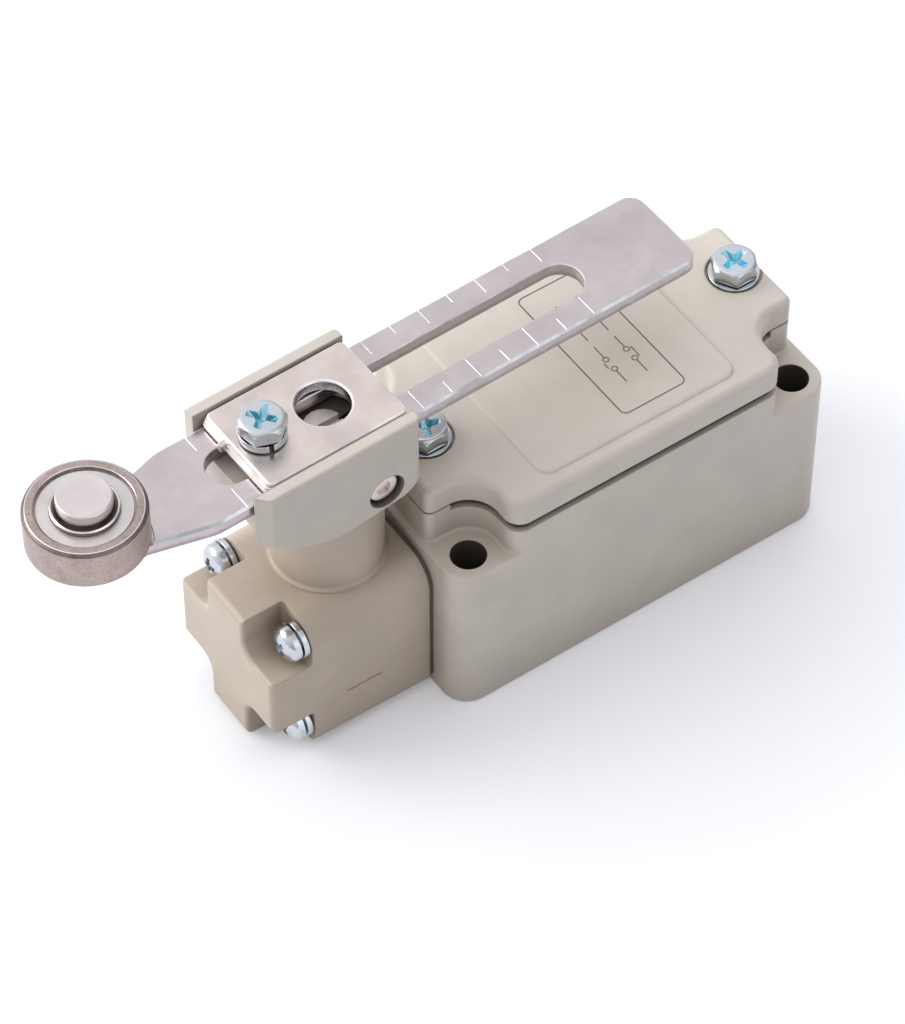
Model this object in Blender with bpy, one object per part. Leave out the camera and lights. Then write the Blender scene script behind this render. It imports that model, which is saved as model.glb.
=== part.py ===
"""Rotary limit switch with an adjustable roller lever, built piece by piece.

Units are metres.  The origin is the centre of the flat back face.  +Z points out of the cover,
+X points from the operating head to the conduit entry, and +Y runs across the width.
Run with: blender --background --python part.py
"""
import math

import bmesh
import bpy
from mathutils import Matrix, Vector

# ---------------------------------------------------------------- driving dimensions

# Clearances
SEAT_GAP = 0.0003          # between pieces that rest on each other
GASKET_GAP = 0.0002        # on each side of the thin head gasket
RUNNING_GAP = 0.00015      # radial, round a journal that turns

# Case: a die-cast box with four corner ears and a raised rim
CASE_WIDTH = 0.0376
CASE_CORNER_RADIUS = 0.0044
CASE_SHOULDER_HEIGHT = 0.0294
CASE_RIM_HEIGHT = 0.0342
CASE_FLOOR = 0.0030
CASE_SIDE_WALL = 0.0024
CASE_END_WALL = 0.0127
CAVITY_CORNER_RADIUS = 0.0030
MOUNT_HOLE_RADIUS = 0.00265
MOUNT_HOLE_EDGE_X = 0.00465     # hole centre to the end of the case
MOUNT_HOLE_EDGE_Y = 0.0044      # hole centre to the side of the case

# Rim and cover outline: two end tabs and four corner notches round the mounting holes
TAB_SETBACK = 0.00095
TAB_CORNER_RADIUS = 0.0014
NOTCH_RADIUS = 0.0050           # round the mounting hole
SIDE_CORNER_RADIUS = 0.0028
RIM_PAD_LENGTH = 0.0050         # end of each tab that rises to the cover, past the gasket

# Cover and its gasket
GASKET_THICKNESS = 0.0009
GASKET_INSET = 0.0009
COVER_THICKNESS = 0.0046
COVER_SKIN = 0.0020
COVER_EDGE_RADIUS = 0.0012
LABEL_PANEL_LENGTH = 0.0350     # raised, with softly rounded edges
LABEL_PANEL_WIDTH = 0.0326
LABEL_PANEL_RISE = 0.00035
LABEL_PANEL_SLOPE = 0.0010      # width of its rounded edge
LABEL_PANEL_CORNER = 0.0022
COVER_SCREW_SETBACK_HEAD = 0.0071    # screw axis to the end of the case at the head
COVER_SCREW_SETBACK_ENTRY = 0.00505  # and at the conduit entry
SPOT_FACE_RADIUS = 0.00426
SPOT_FACE_DEPTH = 0.0008
COVER_WASHER_RADIUS = 0.0039
COVER_WASHER_THICKNESS = 0.0005

# Conduit entry and the level of the plunger, the head and the conduit axis
WORKING_HEIGHT = 0.01435
CONDUIT_RADIUS = 0.01045
CONDUIT_CHAMFER = 0.0008

# M4 screws: hexagon head, on the cover and on the lever
SCREW_RADIUS = 0.0020
HEX_ACROSS_FLATS = 0.0064
HEX_HEAD_HEIGHT = 0.0024
HEX_TOP_RADIUS = 0.0030
HEX_CROWN = 0.0009
WASHER_RADIUS = 0.0035
WASHER_THICKNESS = 0.0012
COVER_SCREW_REACH = 0.0080      # depth of the screw in the case

# M3 screws: pan head, on the head and inside
SMALL_SCREW_RADIUS = 0.0015
SMALL_HEAD_RADIUS = 0.00285
SMALL_HEAD_HEIGHT = 0.0023
SMALL_WASHER_RADIUS = 0.00295
SMALL_WASHER_THICKNESS = 0.0009
HEAD_SCREW_REACH = 0.0065

# Contact screws, the smallest, with a slotted head
TINY_SCREW_RADIUS = 0.00105
TINY_HEAD_RADIUS = 0.0023
TINY_HEAD_HEIGHT = 0.0014

# Shared by the screws
WASHER_SLIT = 0.0006
DOME_ANGLE = math.radians(68)
FLANK_SHARE = 0.35              # straight part of a pan head's height
RECESS_SHARE = 1.1              # span of the cross recess over the head radius
RECESS_BLADE = 0.0009
RECESS_DEPTH = 0.0012
SLOT_SHARE = 0.55               # depth of a slot over the head height
COVER_CROSS_ANGLES = (math.radians(-22), math.radians(15))
CLAMP_HEX_ANGLE = math.radians(-21)
CLAMP_CROSS_ANGLE = math.radians(59)
CLAMP_WASHER_ANGLE = math.radians(-103)

# Operating head
HEAD_LENGTH = 0.0276
HEAD_HALF_WIDTH = 0.01235
HEAD_BOTTOM = 0.0003
HEAD_TOP = 0.0277
HEAD_DRAFT = 0.0003             # taken off each side towards the end face
HEAD_TOP_RADIUS = 0.0048
HEAD_BOTTOM_RADIUS = 0.0025
HEAD_END_RADIUS = 0.0011
HEAD_GASKET_THICKNESS = 0.0003
HEAD_SCREW_PITCH_Y = 0.0185
HEAD_SCREW_PITCH_Z = 0.0188
HEAD_NOTCH_DEPTH = 0.0072
HEAD_NOTCH_HALF_Y = 0.0047      # centre of the head to the notch wall
HEAD_NOTCH_HALF_Z = 0.00565      # working level to the notch wall
HEAD_NOTCH_FILLET = 0.0030
HEAD_CAVITY_RADIUS = 0.0086
HEAD_CAVITY_LENGTH = 0.0192
BOSS_RADIUS = 0.0084
BOSS_TOP = 0.0424

# Shaft, bearings and cam
SHAFT_SETBACK = 0.01016         # shaft axis to the case end face
SHAFT_END_DEPTH = 0.0001        # shaft end below the hub's floor
JOURNAL_RADIUS = 0.0040
SPINDLE_RADIUS = 0.0030         # above the boss and inside the head
PIVOT_RADIUS = 0.0024
PIVOT_DEPTH = 0.0026            # pivot below the head cavity
SHAFT_SLOT_WIDTH = 0.0010
SHAFT_SLOT_DEPTH = 0.0012
BUSH_RADIUS = 0.0060
BUSH_LENGTH = 0.0080
SEAL_LENGTH = 0.0026
SEAL_DEPTH = 0.0006             # seal top below the boss top
CAM_THICKNESS = 0.0038
CAM_LOBE_RADIUS = 0.0054
CAM_VALLEY_RADIUS = 0.0042
CAM_VALLEY_ANGLE = math.radians(34)
CLIP_RADIUS = 0.0050
CLIP_THICKNESS = 0.0008
CLIP_DEPTH = 0.0006             # groove depth in the spindle
CLIP_GAP = 0.0045
RETURN_SPRING_WIRE = 0.0008
RETURN_SPRING_PITCH = 0.00092
RETURN_SPRING_TURNS = 4.0
RETURN_SPRING_LEG = 0.0020
RETURN_SPRING_PLAY = 0.0009     # between the coil and the spindle

# Plunger between the cam and the switch block
PLUNGER_RADIUS = 0.0025
PLUNGER_TRAVEL = 0.0014
PLUNGER_FLANGE_RADIUS = 0.0044
PLUNGER_FLANGE_THICKNESS = 0.0010
PLUNGER_TIP = 0.0011
PLUNGER_TIP_RADIUS = 0.0011
PLUNGER_SHOULDER = 0.0003
PLUNGER_SHOULDER_RADIUS = 0.0021
PLUNGER_SPRING_WIRE = 0.0005
PLUNGER_SPRING_TURNS = 5.0
SPRING_POCKET_RADIUS = 0.0050
SPRING_POCKET_DEPTH = 0.0055
PLUNGER_SEAL_RADIUS = 0.0043
PLUNGER_SEAL_LENGTH = 0.0018

# Switch block
BLOCK_WIDTH = 0.0260
BLOCK_SETBACK = 0.0043          # from the cavity's head end
BLOCK_END_SPACE = 0.0052        # from the spring wall to the block's end, for its screw
WIRING_SPACE = 0.0088           # from the block to the cavity's entry end
BLOCK_WALL = 0.0015
BASE_HEIGHT = 0.0152
LID_THICKNESS = 0.0030
BUTTON_RADIUS = 0.0022
BUTTON_STANDOFF = 0.0023        # button end proud of the block
BRIDGE_SETBACK = 0.0150         # contact bridge from the block's head end
BRIDGE_THICKNESS = 0.0010
BRIDGE_SPAN = 0.0190
BRIDGE_HEIGHT = 0.0030
CONTACT_PITCH = 0.0140
CONTACT_HEIGHT = 0.0030
TERMINAL_WIDTH = 0.0052
TERMINAL_THICKNESS = 0.0010
TERMINAL_CLEARANCE = 0.0005     # between a terminal's tab and the head of the block screw
CONTACT_SPRING_RADIUS = 0.0014
CONTACT_SPRING_WIRE = 0.0004
CONTACT_SPRING_TURNS = 4.0
CONTACT_SPRING_LENGTH = 0.0050
SPRING_WALL_HALF_WIDTH = 0.0033
GROUND_POST_RADIUS = 0.0032
GROUND_POST_HEIGHT = 0.0050

# Lever: u runs along the arm away from the roller, v across it
LEVER_ANGLE = math.radians(1.27)
HUB_HALF_WIDTH = 0.0106
HUB_WALL = 0.0021
HUB_CLEARANCE = 0.0008          # top of the boss to the lowest point of the hub
HUB_BODY_HEIGHT = 0.0113
HUB_WALL_HEIGHT = 0.0048        # above the floor that carries the arm
HUB_ROLLER_END = 0.0162         # shaft axis to the hub's end on the roller side
HUB_TAIL_END = 0.0094
HUB_TAIL_CORNER = 0.0012
HUB_TAIL_RADIUS = 0.0040        # under the tail
HUB_TAIL_STEP = 0.0010          # underside of the tail above the lowest point
HUB_BELLY_OFFSET = 0.0030       # lowest point to the shaft axis
HUB_BELLY_RADIUS = 0.0150
HUB_BELLY_SWEEP = math.radians(33)
HUB_LUG = 0.0014                # in-turned end of the front wall
HUB_SLIT = 0.0012
HUB_CLAMP_OFFSET = 0.0033       # clamp bolt axis to the shaft axis
HUB_CLAMP_RISE = 0.0045         # clamp bolt axis above the lowest point
CLAMP_BOLT_RADIUS = 0.00125
CLAMP_HEAD_RADIUS = 0.00245
CLAMP_HEAD_LENGTH = 0.0025
CLAMP_HEAD_RECESS = 0.0008
CLAMP_HEX = 0.0022
CLAMP_HEX_DEPTH = 0.0014
CLAMP_BOLT_LENGTH = 0.0150
ARM_THICKNESS = 0.0023
ARM_HALF_WIDTH = 0.00795
ARM_TAIL = 0.0610
ARM_CORNER_RADIUS = 0.0026
ARM_EDGE_CHAMFER = 0.00035
ARM_NECK_START = 0.0233
ARM_NECK_END = 0.0330
ARM_NECK_BEND = 0.0060
ARM_NOSE_RADIUS = 0.00525
SLOT_HALF_WIDTH = 0.0035
SLOT_ROLLER_END = 0.0194
SLOT_TAIL_END = 0.04505
PLATE_THICKNESS = 0.0018
PLATE_HALF_WIDTH = 0.0081
PLATE_ROLLER_END = 0.0152
PLATE_TAIL_END = 0.0090
PLATE_CORNER_RADIUS = 0.0010
PLATE_EDGE_RADIUS = 0.0005
PLATE_WINDOW_RADIUS = 0.0040
PLATE_NIB = 0.0006
PLATE_NIB_DROP = 0.0006         # top of the nib below the top of the plate
PLATE_NIB_WIDTH = 0.0009
PLATE_NIB_OFFSET = 0.0026
CLAMP_SCREW_OFFSET = 0.0102
CLAMP_SCREW_REACH = 0.0060

# Roller
ROLLER_OFFSET = 0.0393
ROLLER_RADIUS = 0.00875
ROLLER_HEIGHT = 0.0070
ROLLER_CHAMFER = 0.0005
ROLLER_RIM = 0.00165
ROLLER_DISH = 0.0005
ROLLER_SEAT_RADIUS = 0.0090
ROLLER_SEAT_DEPTH = 0.0004
ROLLER_BUSH_RADIUS = 0.0049
ROLLER_BUSH_PROUD = 0.0003
ROLLER_WASHER_RADIUS = 0.0048
ROLLER_WASHER_THICKNESS = 0.0005
PIN_RADIUS = 0.0026
PIN_HEAD_RADIUS = 0.0040
PIN_HEAD_HEIGHT = 0.0018
PIN_HEAD_EDGE = 0.0003
RIVET_RADIUS = 0.0040
RIVET_END_RADIUS = 0.0028
RIVET_HEIGHT = 0.0010

# Facets round each kind of curve
ROUND_LARGE = 32
ROUND_MEDIUM = 20
ROUND_SMALL = 12
ROUND_HELIX = 10
CORNER_STEPS = 4
EDGE_STEPS = 3
PLATE_EDGE_STEPS = 2
BEND_STEPS = 3
DOME_STEPS = 3
HEX_SIDES = 6

# ---------------------------------------------------------------- derived places

BLOCK_LENGTH = (BRIDGE_SETBACK + BRIDGE_THICKNESS / 2 + SEAT_GAP + TERMINAL_THICKNESS + SEAT_GAP
                + CONTACT_SPRING_WIRE + CONTACT_SPRING_LENGTH + SEAT_GAP + BLOCK_WALL + BLOCK_END_SPACE)
CAVITY_LENGTH = BLOCK_SETBACK + BLOCK_LENGTH + WIRING_SPACE
CAVITY_HALF_LENGTH = CAVITY_LENGTH / 2
CASE_HALF_LENGTH = CAVITY_HALF_LENGTH + CASE_END_WALL
CASE_HALF_WIDTH = CASE_WIDTH / 2
CAVITY_HALF_WIDTH = CASE_HALF_WIDTH - CASE_SIDE_WALL
MOUNT_HOLE_X = CASE_HALF_LENGTH - MOUNT_HOLE_EDGE_X
MOUNT_HOLE_Y = CASE_HALF_WIDTH - MOUNT_HOLE_EDGE_Y
GASKET_BOTTOM = CASE_RIM_HEIGHT + SEAT_GAP
COVER_BOTTOM = GASKET_BOTTOM + GASKET_THICKNESS + SEAT_GAP
COVER_TOP = COVER_BOTTOM + COVER_THICKNESS
COVER_SCREW_PLACES = (-CASE_HALF_LENGTH + COVER_SCREW_SETBACK_HEAD,
                      CASE_HALF_LENGTH - COVER_SCREW_SETBACK_ENTRY)
RIM_PAD_X = CASE_HALF_LENGTH - RIM_PAD_LENGTH
SCREW_HOLE_RADIUS = SCREW_RADIUS + SEAT_GAP
SMALL_HOLE_RADIUS = SMALL_SCREW_RADIUS + SEAT_GAP
TINY_HOLE_RADIUS = TINY_SCREW_RADIUS + SEAT_GAP
SMALL_PAN = (SMALL_SCREW_RADIUS, SMALL_HEAD_RADIUS, SMALL_HEAD_HEIGHT, RECESS_DEPTH)
TINY_PAN = (TINY_SCREW_RADIUS, TINY_HEAD_RADIUS, TINY_HEAD_HEIGHT, TINY_HEAD_HEIGHT * SLOT_SHARE)
SMALL_HEAD_SPACE = SMALL_HEAD_RADIUS + SEAT_GAP * 2
CUT_MARGIN = 0.0010             # how far a cutter runs past the face it opens

HEAD_GASKET_X = -CASE_HALF_LENGTH - GASKET_GAP
HEAD_FACE_X = HEAD_GASKET_X - HEAD_GASKET_THICKNESS - GASKET_GAP
HEAD_END_X = HEAD_FACE_X - HEAD_LENGTH
HEAD_SEAT_X = HEAD_END_X + HEAD_NOTCH_DEPTH
HEAD_CAVITY_END_X = HEAD_FACE_X - HEAD_CAVITY_LENGTH
SHAFT_X = -CASE_HALF_LENGTH - SHAFT_SETBACK
CLAMP_GROOVE_RADIUS = HUB_CLAMP_OFFSET - CLAMP_BOLT_RADIUS - SEAT_GAP
CLAMP_GROOVE_HALF_HEIGHT = CLAMP_BOLT_RADIUS + SEAT_GAP * 2
CAVITY_BOTTOM_Z = WORKING_HEIGHT - HEAD_CAVITY_RADIUS
CAVITY_TOP_Z = WORKING_HEIGHT + HEAD_CAVITY_RADIUS

PLUNGER_TIP_X = SHAFT_X + CAM_LOBE_RADIUS + SEAT_GAP
PLUNGER_FLANGE_X = PLUNGER_TIP_X + PLUNGER_TIP
SPRING_POCKET_X = -CASE_HALF_LENGTH + SPRING_POCKET_DEPTH
BLOCK_MIN_X = -CAVITY_HALF_LENGTH + BLOCK_SETBACK
BLOCK_MAX_X = BLOCK_MIN_X + BLOCK_LENGTH
BUTTON_END_X = BLOCK_MIN_X - BUTTON_STANDOFF
BLOCK_BOTTOM = CASE_FLOOR + SEAT_GAP
BASE_TOP = BLOCK_BOTTOM + BASE_HEIGHT
LID_BOTTOM = BASE_TOP + SEAT_GAP
LID_TOP = LID_BOTTOM + LID_THICKNESS
BRIDGE_X = BLOCK_MIN_X + BRIDGE_SETBACK
TERMINAL_SETBACK = BRIDGE_THICKNESS / 2 + SEAT_GAP + TERMINAL_THICKNESS    # from the bridge's middle
TERMINAL_TAB = (BRIDGE_SETBACK - TERMINAL_SETBACK - SMALL_HEAD_SPACE - SMALL_HEAD_RADIUS
                - TERMINAL_CLEARANCE)

HUB_BOTTOM = BOSS_TOP + HUB_CLEARANCE
HUB_FLOOR = HUB_BOTTOM + HUB_BODY_HEIGHT
HUB_WALL_TOP = HUB_FLOOR + HUB_WALL_HEIGHT
HUB_CLAMP_HEIGHT = HUB_BOTTOM + HUB_CLAMP_RISE
SHAFT_TOP = HUB_FLOOR - SHAFT_END_DEPTH
ARM_BOTTOM = HUB_FLOOR + SEAT_GAP
ARM_TOP = ARM_BOTTOM + ARM_THICKNESS
PLATE_BOTTOM = ARM_TOP + SEAT_GAP
PLATE_TOP = PLATE_BOTTOM + PLATE_THICKNESS
ROLLER_WASHER_BOTTOM = ARM_TOP - ROLLER_SEAT_DEPTH + SEAT_GAP
ROLLER_BOTTOM = ROLLER_WASHER_BOTTOM + ROLLER_WASHER_THICKNESS + SEAT_GAP
ROLLER_TOP = ROLLER_BOTTOM + ROLLER_HEIGHT
ROLLER_BUSH_TOP = ROLLER_TOP + ROLLER_BUSH_PROUD
PIN_HEAD_BOTTOM = ROLLER_BUSH_TOP + SEAT_GAP

# ---------------------------------------------------------------- scene and materials


def clear_scene():
    for item in list(bpy.data.objects):
        bpy.data.objects.remove(item, do_unlink=True)


def make_material(name, color, roughness, metallic):
    material = bpy.data.materials.new(name)
    material.use_nodes = True
    shader = material.node_tree.nodes["Principled BSDF"]
    shader.inputs["Base Color"].default_value = (*color, 1.0)
    shader.inputs["Roughness"].default_value = roughness
    shader.inputs["Metallic"].default_value = metallic
    material.diffuse_color = (*color, 1.0)
    return material


def make_materials():
    table = {
        "paint": ((0.48, 0.43, 0.35), 0.45, 0.0),
        "hub_paint": ((0.52, 0.48, 0.41), 0.45, 0.0),
        "seal": ((0.03, 0.03, 0.03), 0.70, 0.0),
        "zinc": ((0.72, 0.75, 0.78), 0.25, 1.0),
        "nickel": ((0.70, 0.65, 0.64), 0.22, 1.0),
        "steel": ((0.50, 0.48, 0.46), 0.35, 1.0),
        "roller_steel": ((0.48, 0.43, 0.40), 0.40, 1.0),
        "bronze": ((0.55, 0.42, 0.30), 0.35, 1.0),
        "spring_steel": ((0.45, 0.45, 0.46), 0.30, 1.0),
        "resin": ((0.05, 0.04, 0.04), 0.50, 0.0),
        "button": ((0.60, 0.10, 0.08), 0.45, 0.0),
        "brass": ((0.75, 0.58, 0.25), 0.30, 1.0),
        "silver": ((0.80, 0.80, 0.78), 0.20, 1.0),
    }
    return {name: make_material(name, *values) for name, values in table.items()}


# ---------------------------------------------------------------- outlines


def arc(center, radius, start, end, steps=CORNER_STEPS):
    """Points from angle start to angle end, in degrees, both included."""
    angles = [math.radians(start + (end - start) * i / steps) for i in range(steps + 1)]
    return [(center[0] + radius * math.cos(a), center[1] + radius * math.sin(a)) for a in angles]


def hexagon(corner_radius):
    turn = 360 / HEX_SIDES
    return arc((0, 0), corner_radius, 0, 360 - turn, HEX_SIDES - 1)


def rounded_rectangle(low, high, radii):
    """Radii go round from the (high, high) corner, anticlockwise."""
    corners = ((high[0], high[1], -1, -1, 0), (low[0], high[1], 1, -1, 90),
               (low[0], low[1], 1, 1, 180), (high[0], low[1], -1, 1, 270))
    points = []
    for (x, y, sign_x, sign_y, start), radius in zip(corners, radii):
        points += arc((x + sign_x * radius, y + sign_y * radius), radius, start, start + 90)
    return points


def centred_rectangle(half_x, half_y, radius):
    return rounded_rectangle((-half_x, -half_y), (half_x, half_y), (radius,) * 4)


def rim_outline(inset=0.0):
    """Outline shared by the case rim, the gasket and the cover, notched round the mounting holes."""
    notch = NOTCH_RADIUS + inset
    tab_x = CASE_HALF_LENGTH - TAB_SETBACK - inset
    tab_y = MOUNT_HOLE_Y - notch
    side_x = MOUNT_HOLE_X - notch
    side_y = CASE_HALF_WIDTH - inset
    tab_radius = TAB_CORNER_RADIUS - inset
    side_radius = SIDE_CORNER_RADIUS - inset
    quarter = arc((tab_x - tab_radius, tab_y - tab_radius), tab_radius, 0, 90)
    quarter += arc((MOUNT_HOLE_X, MOUNT_HOLE_Y), notch, 270, 180)
    quarter += arc((side_x - side_radius, side_y - side_radius), side_radius, 0, 90)
    half = quarter + [(-x, y) for x, y in reversed(quarter)]
    return half + [(-x, -y) for x, y in half]


def cavity_outline(inset=0.0):
    """Inside of the case, which the gasket's window and the cover's pocket follow."""
    return centred_rectangle(CAVITY_HALF_LENGTH - inset, CAVITY_HALF_WIDTH - inset, CAVITY_CORNER_RADIUS)


def head_outline(draft, inset):
    """Section of the head across X, as (y, z) points."""
    shrink = draft + inset
    low = (-HEAD_HALF_WIDTH + shrink, HEAD_BOTTOM + shrink)
    high = (HEAD_HALF_WIDTH - shrink, HEAD_TOP - shrink)
    top = HEAD_TOP_RADIUS - inset
    bottom = HEAD_BOTTOM_RADIUS - inset
    return rounded_rectangle(low, high, (top, top, bottom, bottom))


def ring_with_gap(inner, outer, gap, steps):
    """A C-shaped outline with its gap on +X."""
    start = math.degrees(gap / (inner + outer))
    return arc((0, 0), outer, start, 360 - start, steps) + arc((0, 0), inner, 360 - start, start, steps)


def rounding_steps(radius, steps=EDGE_STEPS):
    """(inset, drop) pairs that round an edge over, from its side to its flat."""
    angles = [math.pi / 2 * i / steps for i in range(steps + 1)]
    return [(radius * (1 - math.cos(a)), radius * (1 - math.sin(a))) for a in angles]


# ---------------------------------------------------------------- solids


def finish(name, mesh_builder, material, parent=None):
    """Turn a bmesh into a named object with outward faces."""
    bmesh.ops.recalc_face_normals(mesh_builder, faces=mesh_builder.faces)
    mesh = bpy.data.meshes.new(name)
    mesh_builder.to_mesh(mesh)
    mesh_builder.free()
    item = bpy.data.objects.new(name, mesh)
    bpy.context.collection.objects.link(item)
    item.parent = parent
    if material:
        mesh.materials.append(material)
    return item


def loft(name, loops, material=None, parent=None):
    """A closed solid through loops of 3-D points, all with the same count."""
    builder = bmesh.new()
    rings = [[builder.verts.new(point) for point in loop] for loop in loops]
    count = len(rings[0])
    for lower, upper in zip(rings, rings[1:]):
        for i in range(count):
            j = (i + 1) % count
            builder.faces.new((lower[i], lower[j], upper[j], upper[i]))
    builder.faces.new(rings[0])
    builder.faces.new(rings[-1])
    return finish(name, builder, material, parent)


def prism(name, outline, bottom, top, material=None, parent=None):
    """An outline in x and y, extruded along Z."""
    loops = [[(x, y, z) for x, y in outline] for z in (bottom, top)]
    return loft(name, loops, material, parent)


def prism_along_x(name, outline, start, end, material=None, parent=None):
    """An outline in y and z, extruded along X."""
    loops = [[(x, y, z) for y, z in outline] for x in (start, end)]
    return loft(name, loops, material, parent)


def prism_along_y(name, outline, start, end, material=None, parent=None):
    """An outline in x and z, extruded along Y."""
    loops = [[(x, y, z) for x, z in outline] for y in (start, end)]
    return loft(name, loops, material, parent)


def block(name, low, high, material=None, parent=None):
    outline = [(low[0], low[1]), (high[0], low[1]), (high[0], high[1]), (low[0], high[1])]
    return prism(name, outline, low[2], high[2], material, parent)


def turned(name, profile, facets, material=None, hollow=False, parent=None):
    """A profile of (radius, height) points turned about Z.  A hollow profile is a closed loop."""
    builder = bmesh.new()
    rings = []
    for radius, height in profile:
        angles = [2 * math.pi * i / facets for i in range(facets)]
        points = [(radius * math.cos(a), radius * math.sin(a), height) for a in angles]
        rings.append([builder.verts.new(point) for point in points])
    pairs = list(zip(rings, rings[1:]))
    if hollow:
        pairs.append((rings[-1], rings[0]))
    for lower, upper in pairs:
        for i in range(facets):
            j = (i + 1) % facets
            builder.faces.new((lower[i], lower[j], upper[j], upper[i]))
    if not hollow:
        builder.faces.new(rings[0])
        builder.faces.new(rings[-1])
    item = finish(name, builder, material, parent)
    item.data.shade_smooth()
    item.data.set_sharp_from_angle(angle=math.radians(30))
    return item


def rod(name, radius, bottom, top, facets=ROUND_MEDIUM, material=None, parent=None):
    return turned(name, [(radius, bottom), (radius, top)], facets, material, parent=parent)


def place(item, location, axis="Z", spin=0.0):
    """Stand a Z-turned piece at a location, along the named axis, spun about itself."""
    turns = {"Z": Matrix.Identity(4), "-Z": Matrix.Rotation(math.pi, 4, "X"),
             "X": Matrix.Rotation(math.pi / 2, 4, "Y"), "-X": Matrix.Rotation(-math.pi / 2, 4, "Y"),
             "Y": Matrix.Rotation(-math.pi / 2, 4, "X"), "-Y": Matrix.Rotation(math.pi / 2, 4, "X")}
    item.matrix_local = Matrix.Translation(Vector(location)) @ turns[axis] @ Matrix.Rotation(spin, 4, "Z")
    return item


def combine(target, tool, operation):
    """Apply one solid to another, and leave the tool as a hidden guide."""
    modifier = target.modifiers.new(tool.name, "BOOLEAN")
    modifier.operation = operation
    modifier.object = tool
    tool.hide_render = True
    tool.display_type = "WIRE"


def cut(target, *tools):
    for tool in tools:
        combine(target, tool, "DIFFERENCE")


def add(target, *tools):
    for tool in tools:
        combine(target, tool, "UNION")


def bore(name, radius, start, end, facets=ROUND_MEDIUM, parent=None):
    """A round cutter from one point to another along an axis direction."""
    reach = Vector(end) - Vector(start)
    item = rod(name, radius, 0.0, reach.length, facets, parent=parent)
    turn = reach.normalized().to_track_quat("Z", "Y").to_matrix().to_4x4()
    item.matrix_local = Matrix.Translation(Vector(start)) @ turn
    return item


def wire(name, points, diameter, material, parent=None):
    """A round wire through the points."""
    curve = bpy.data.curves.new(name, "CURVE")
    curve.dimensions = "3D"
    curve.bevel_depth = diameter / 2
    curve.bevel_resolution = 0
    curve.use_fill_caps = True
    spline = curve.splines.new("POLY")
    spline.points.add(len(points) - 1)
    for target, point in zip(spline.points, points):
        target.co = (*point, 1.0)
    curve.materials.append(material)
    item = bpy.data.objects.new(name, curve)
    bpy.context.collection.objects.link(item)
    item.parent = parent
    return item


def helix(radius, start, end, turns):
    count = int(round(turns * ROUND_HELIX))
    points = []
    for i in range(count + 1):
        angle = 2 * math.pi * turns * i / count
        height = start + (end - start) * i / count
        points.append((radius * math.cos(angle), radius * math.sin(angle), height))
    return points


def pivot(name, location, parent=None, angle=0.0):
    """An empty on a joint's axis."""
    empty = bpy.data.objects.new(name, None)
    bpy.context.collection.objects.link(empty)
    empty.location = location
    empty.rotation_euler = (0.0, 0.0, angle)
    empty.parent = parent
    return empty


# ---------------------------------------------------------------- fasteners


def recess(item, head_radius, top, depth, blades, angle=0.0):
    """Cut a slot, or a cross of two blades, into a head whose flat is at the given height."""
    half_span = head_radius * RECESS_SHARE / 2 if blades > 1 else head_radius + CUT_MARGIN
    half_blade = RECESS_BLADE / 2
    for i in range(blades):
        blade = block(f"{item.name}_recess_{i + 1}", (-half_span, -half_blade, top - depth),
                      (half_span, half_blade, top + CUT_MARGIN), parent=item)
        blade.rotation_euler = (0.0, 0.0, angle + i * math.pi / 2)
        cut(item, blade)


def hex_screw(name, material, shank_length, cross_angle, parent=None):
    """Hexagon head on z = 0 with its shank below, and a cross recess."""
    flat = HEX_ACROSS_FLATS / 2
    corner = flat / math.cos(math.pi / HEX_SIDES)
    item = prism(name, hexagon(corner), 0.0, HEX_HEAD_HEIGHT, material, parent)
    wide = corner + SEAT_GAP
    crown_low = HEX_HEAD_HEIGHT - HEX_CROWN
    crown_profile = [(wide, -CUT_MARGIN), (wide, crown_low), (HEX_TOP_RADIUS, HEX_HEAD_HEIGHT)]
    combine(item, turned(name + "_crown", crown_profile, ROUND_MEDIUM, parent=item), "INTERSECT")
    shank = rod(name + "_shank", SCREW_RADIUS, -shank_length, HEX_HEAD_HEIGHT / 2, ROUND_SMALL, parent=item)
    add(item, shank)
    recess(item, flat, HEX_HEAD_HEIGHT, RECESS_DEPTH, 2, cross_angle)
    return item


def pan_screw(name, material, shank_length, size, blades=2, parent=None):
    """Domed head on z = 0 with its shank below.

    Size is (shank radius, head radius, head height, depth of the recess).
    """
    radius, head_radius, head_height, depth = size
    flank = head_height * FLANK_SHARE
    dome = [(head_radius * math.cos(a), flank + (head_height - flank) * math.sin(a) / math.sin(DOME_ANGLE))
            for a in (DOME_ANGLE * i / DOME_STEPS for i in range(DOME_STEPS + 1))]
    profile = [(radius, -shank_length), (radius, 0.0), (head_radius, 0.0)] + dome
    item = turned(name, profile, ROUND_SMALL, material, parent=parent)
    recess(item, head_radius, head_height, depth, blades)
    return item


def ring(name, material, hole, outer, bottom, thickness, parent=None):
    top = bottom + thickness
    return turned(name, [(hole, bottom), (outer, bottom), (outer, top), (hole, top)], ROUND_MEDIUM, material,
                  hollow=True, parent=parent)


def split_washer(name, material, hole, outer, thickness, parent=None):
    return prism(name, ring_with_gap(hole, outer, WASHER_SLIT, ROUND_SMALL), 0.0, thickness, material, parent)


# ---------------------------------------------------------------- case and cover


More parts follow.
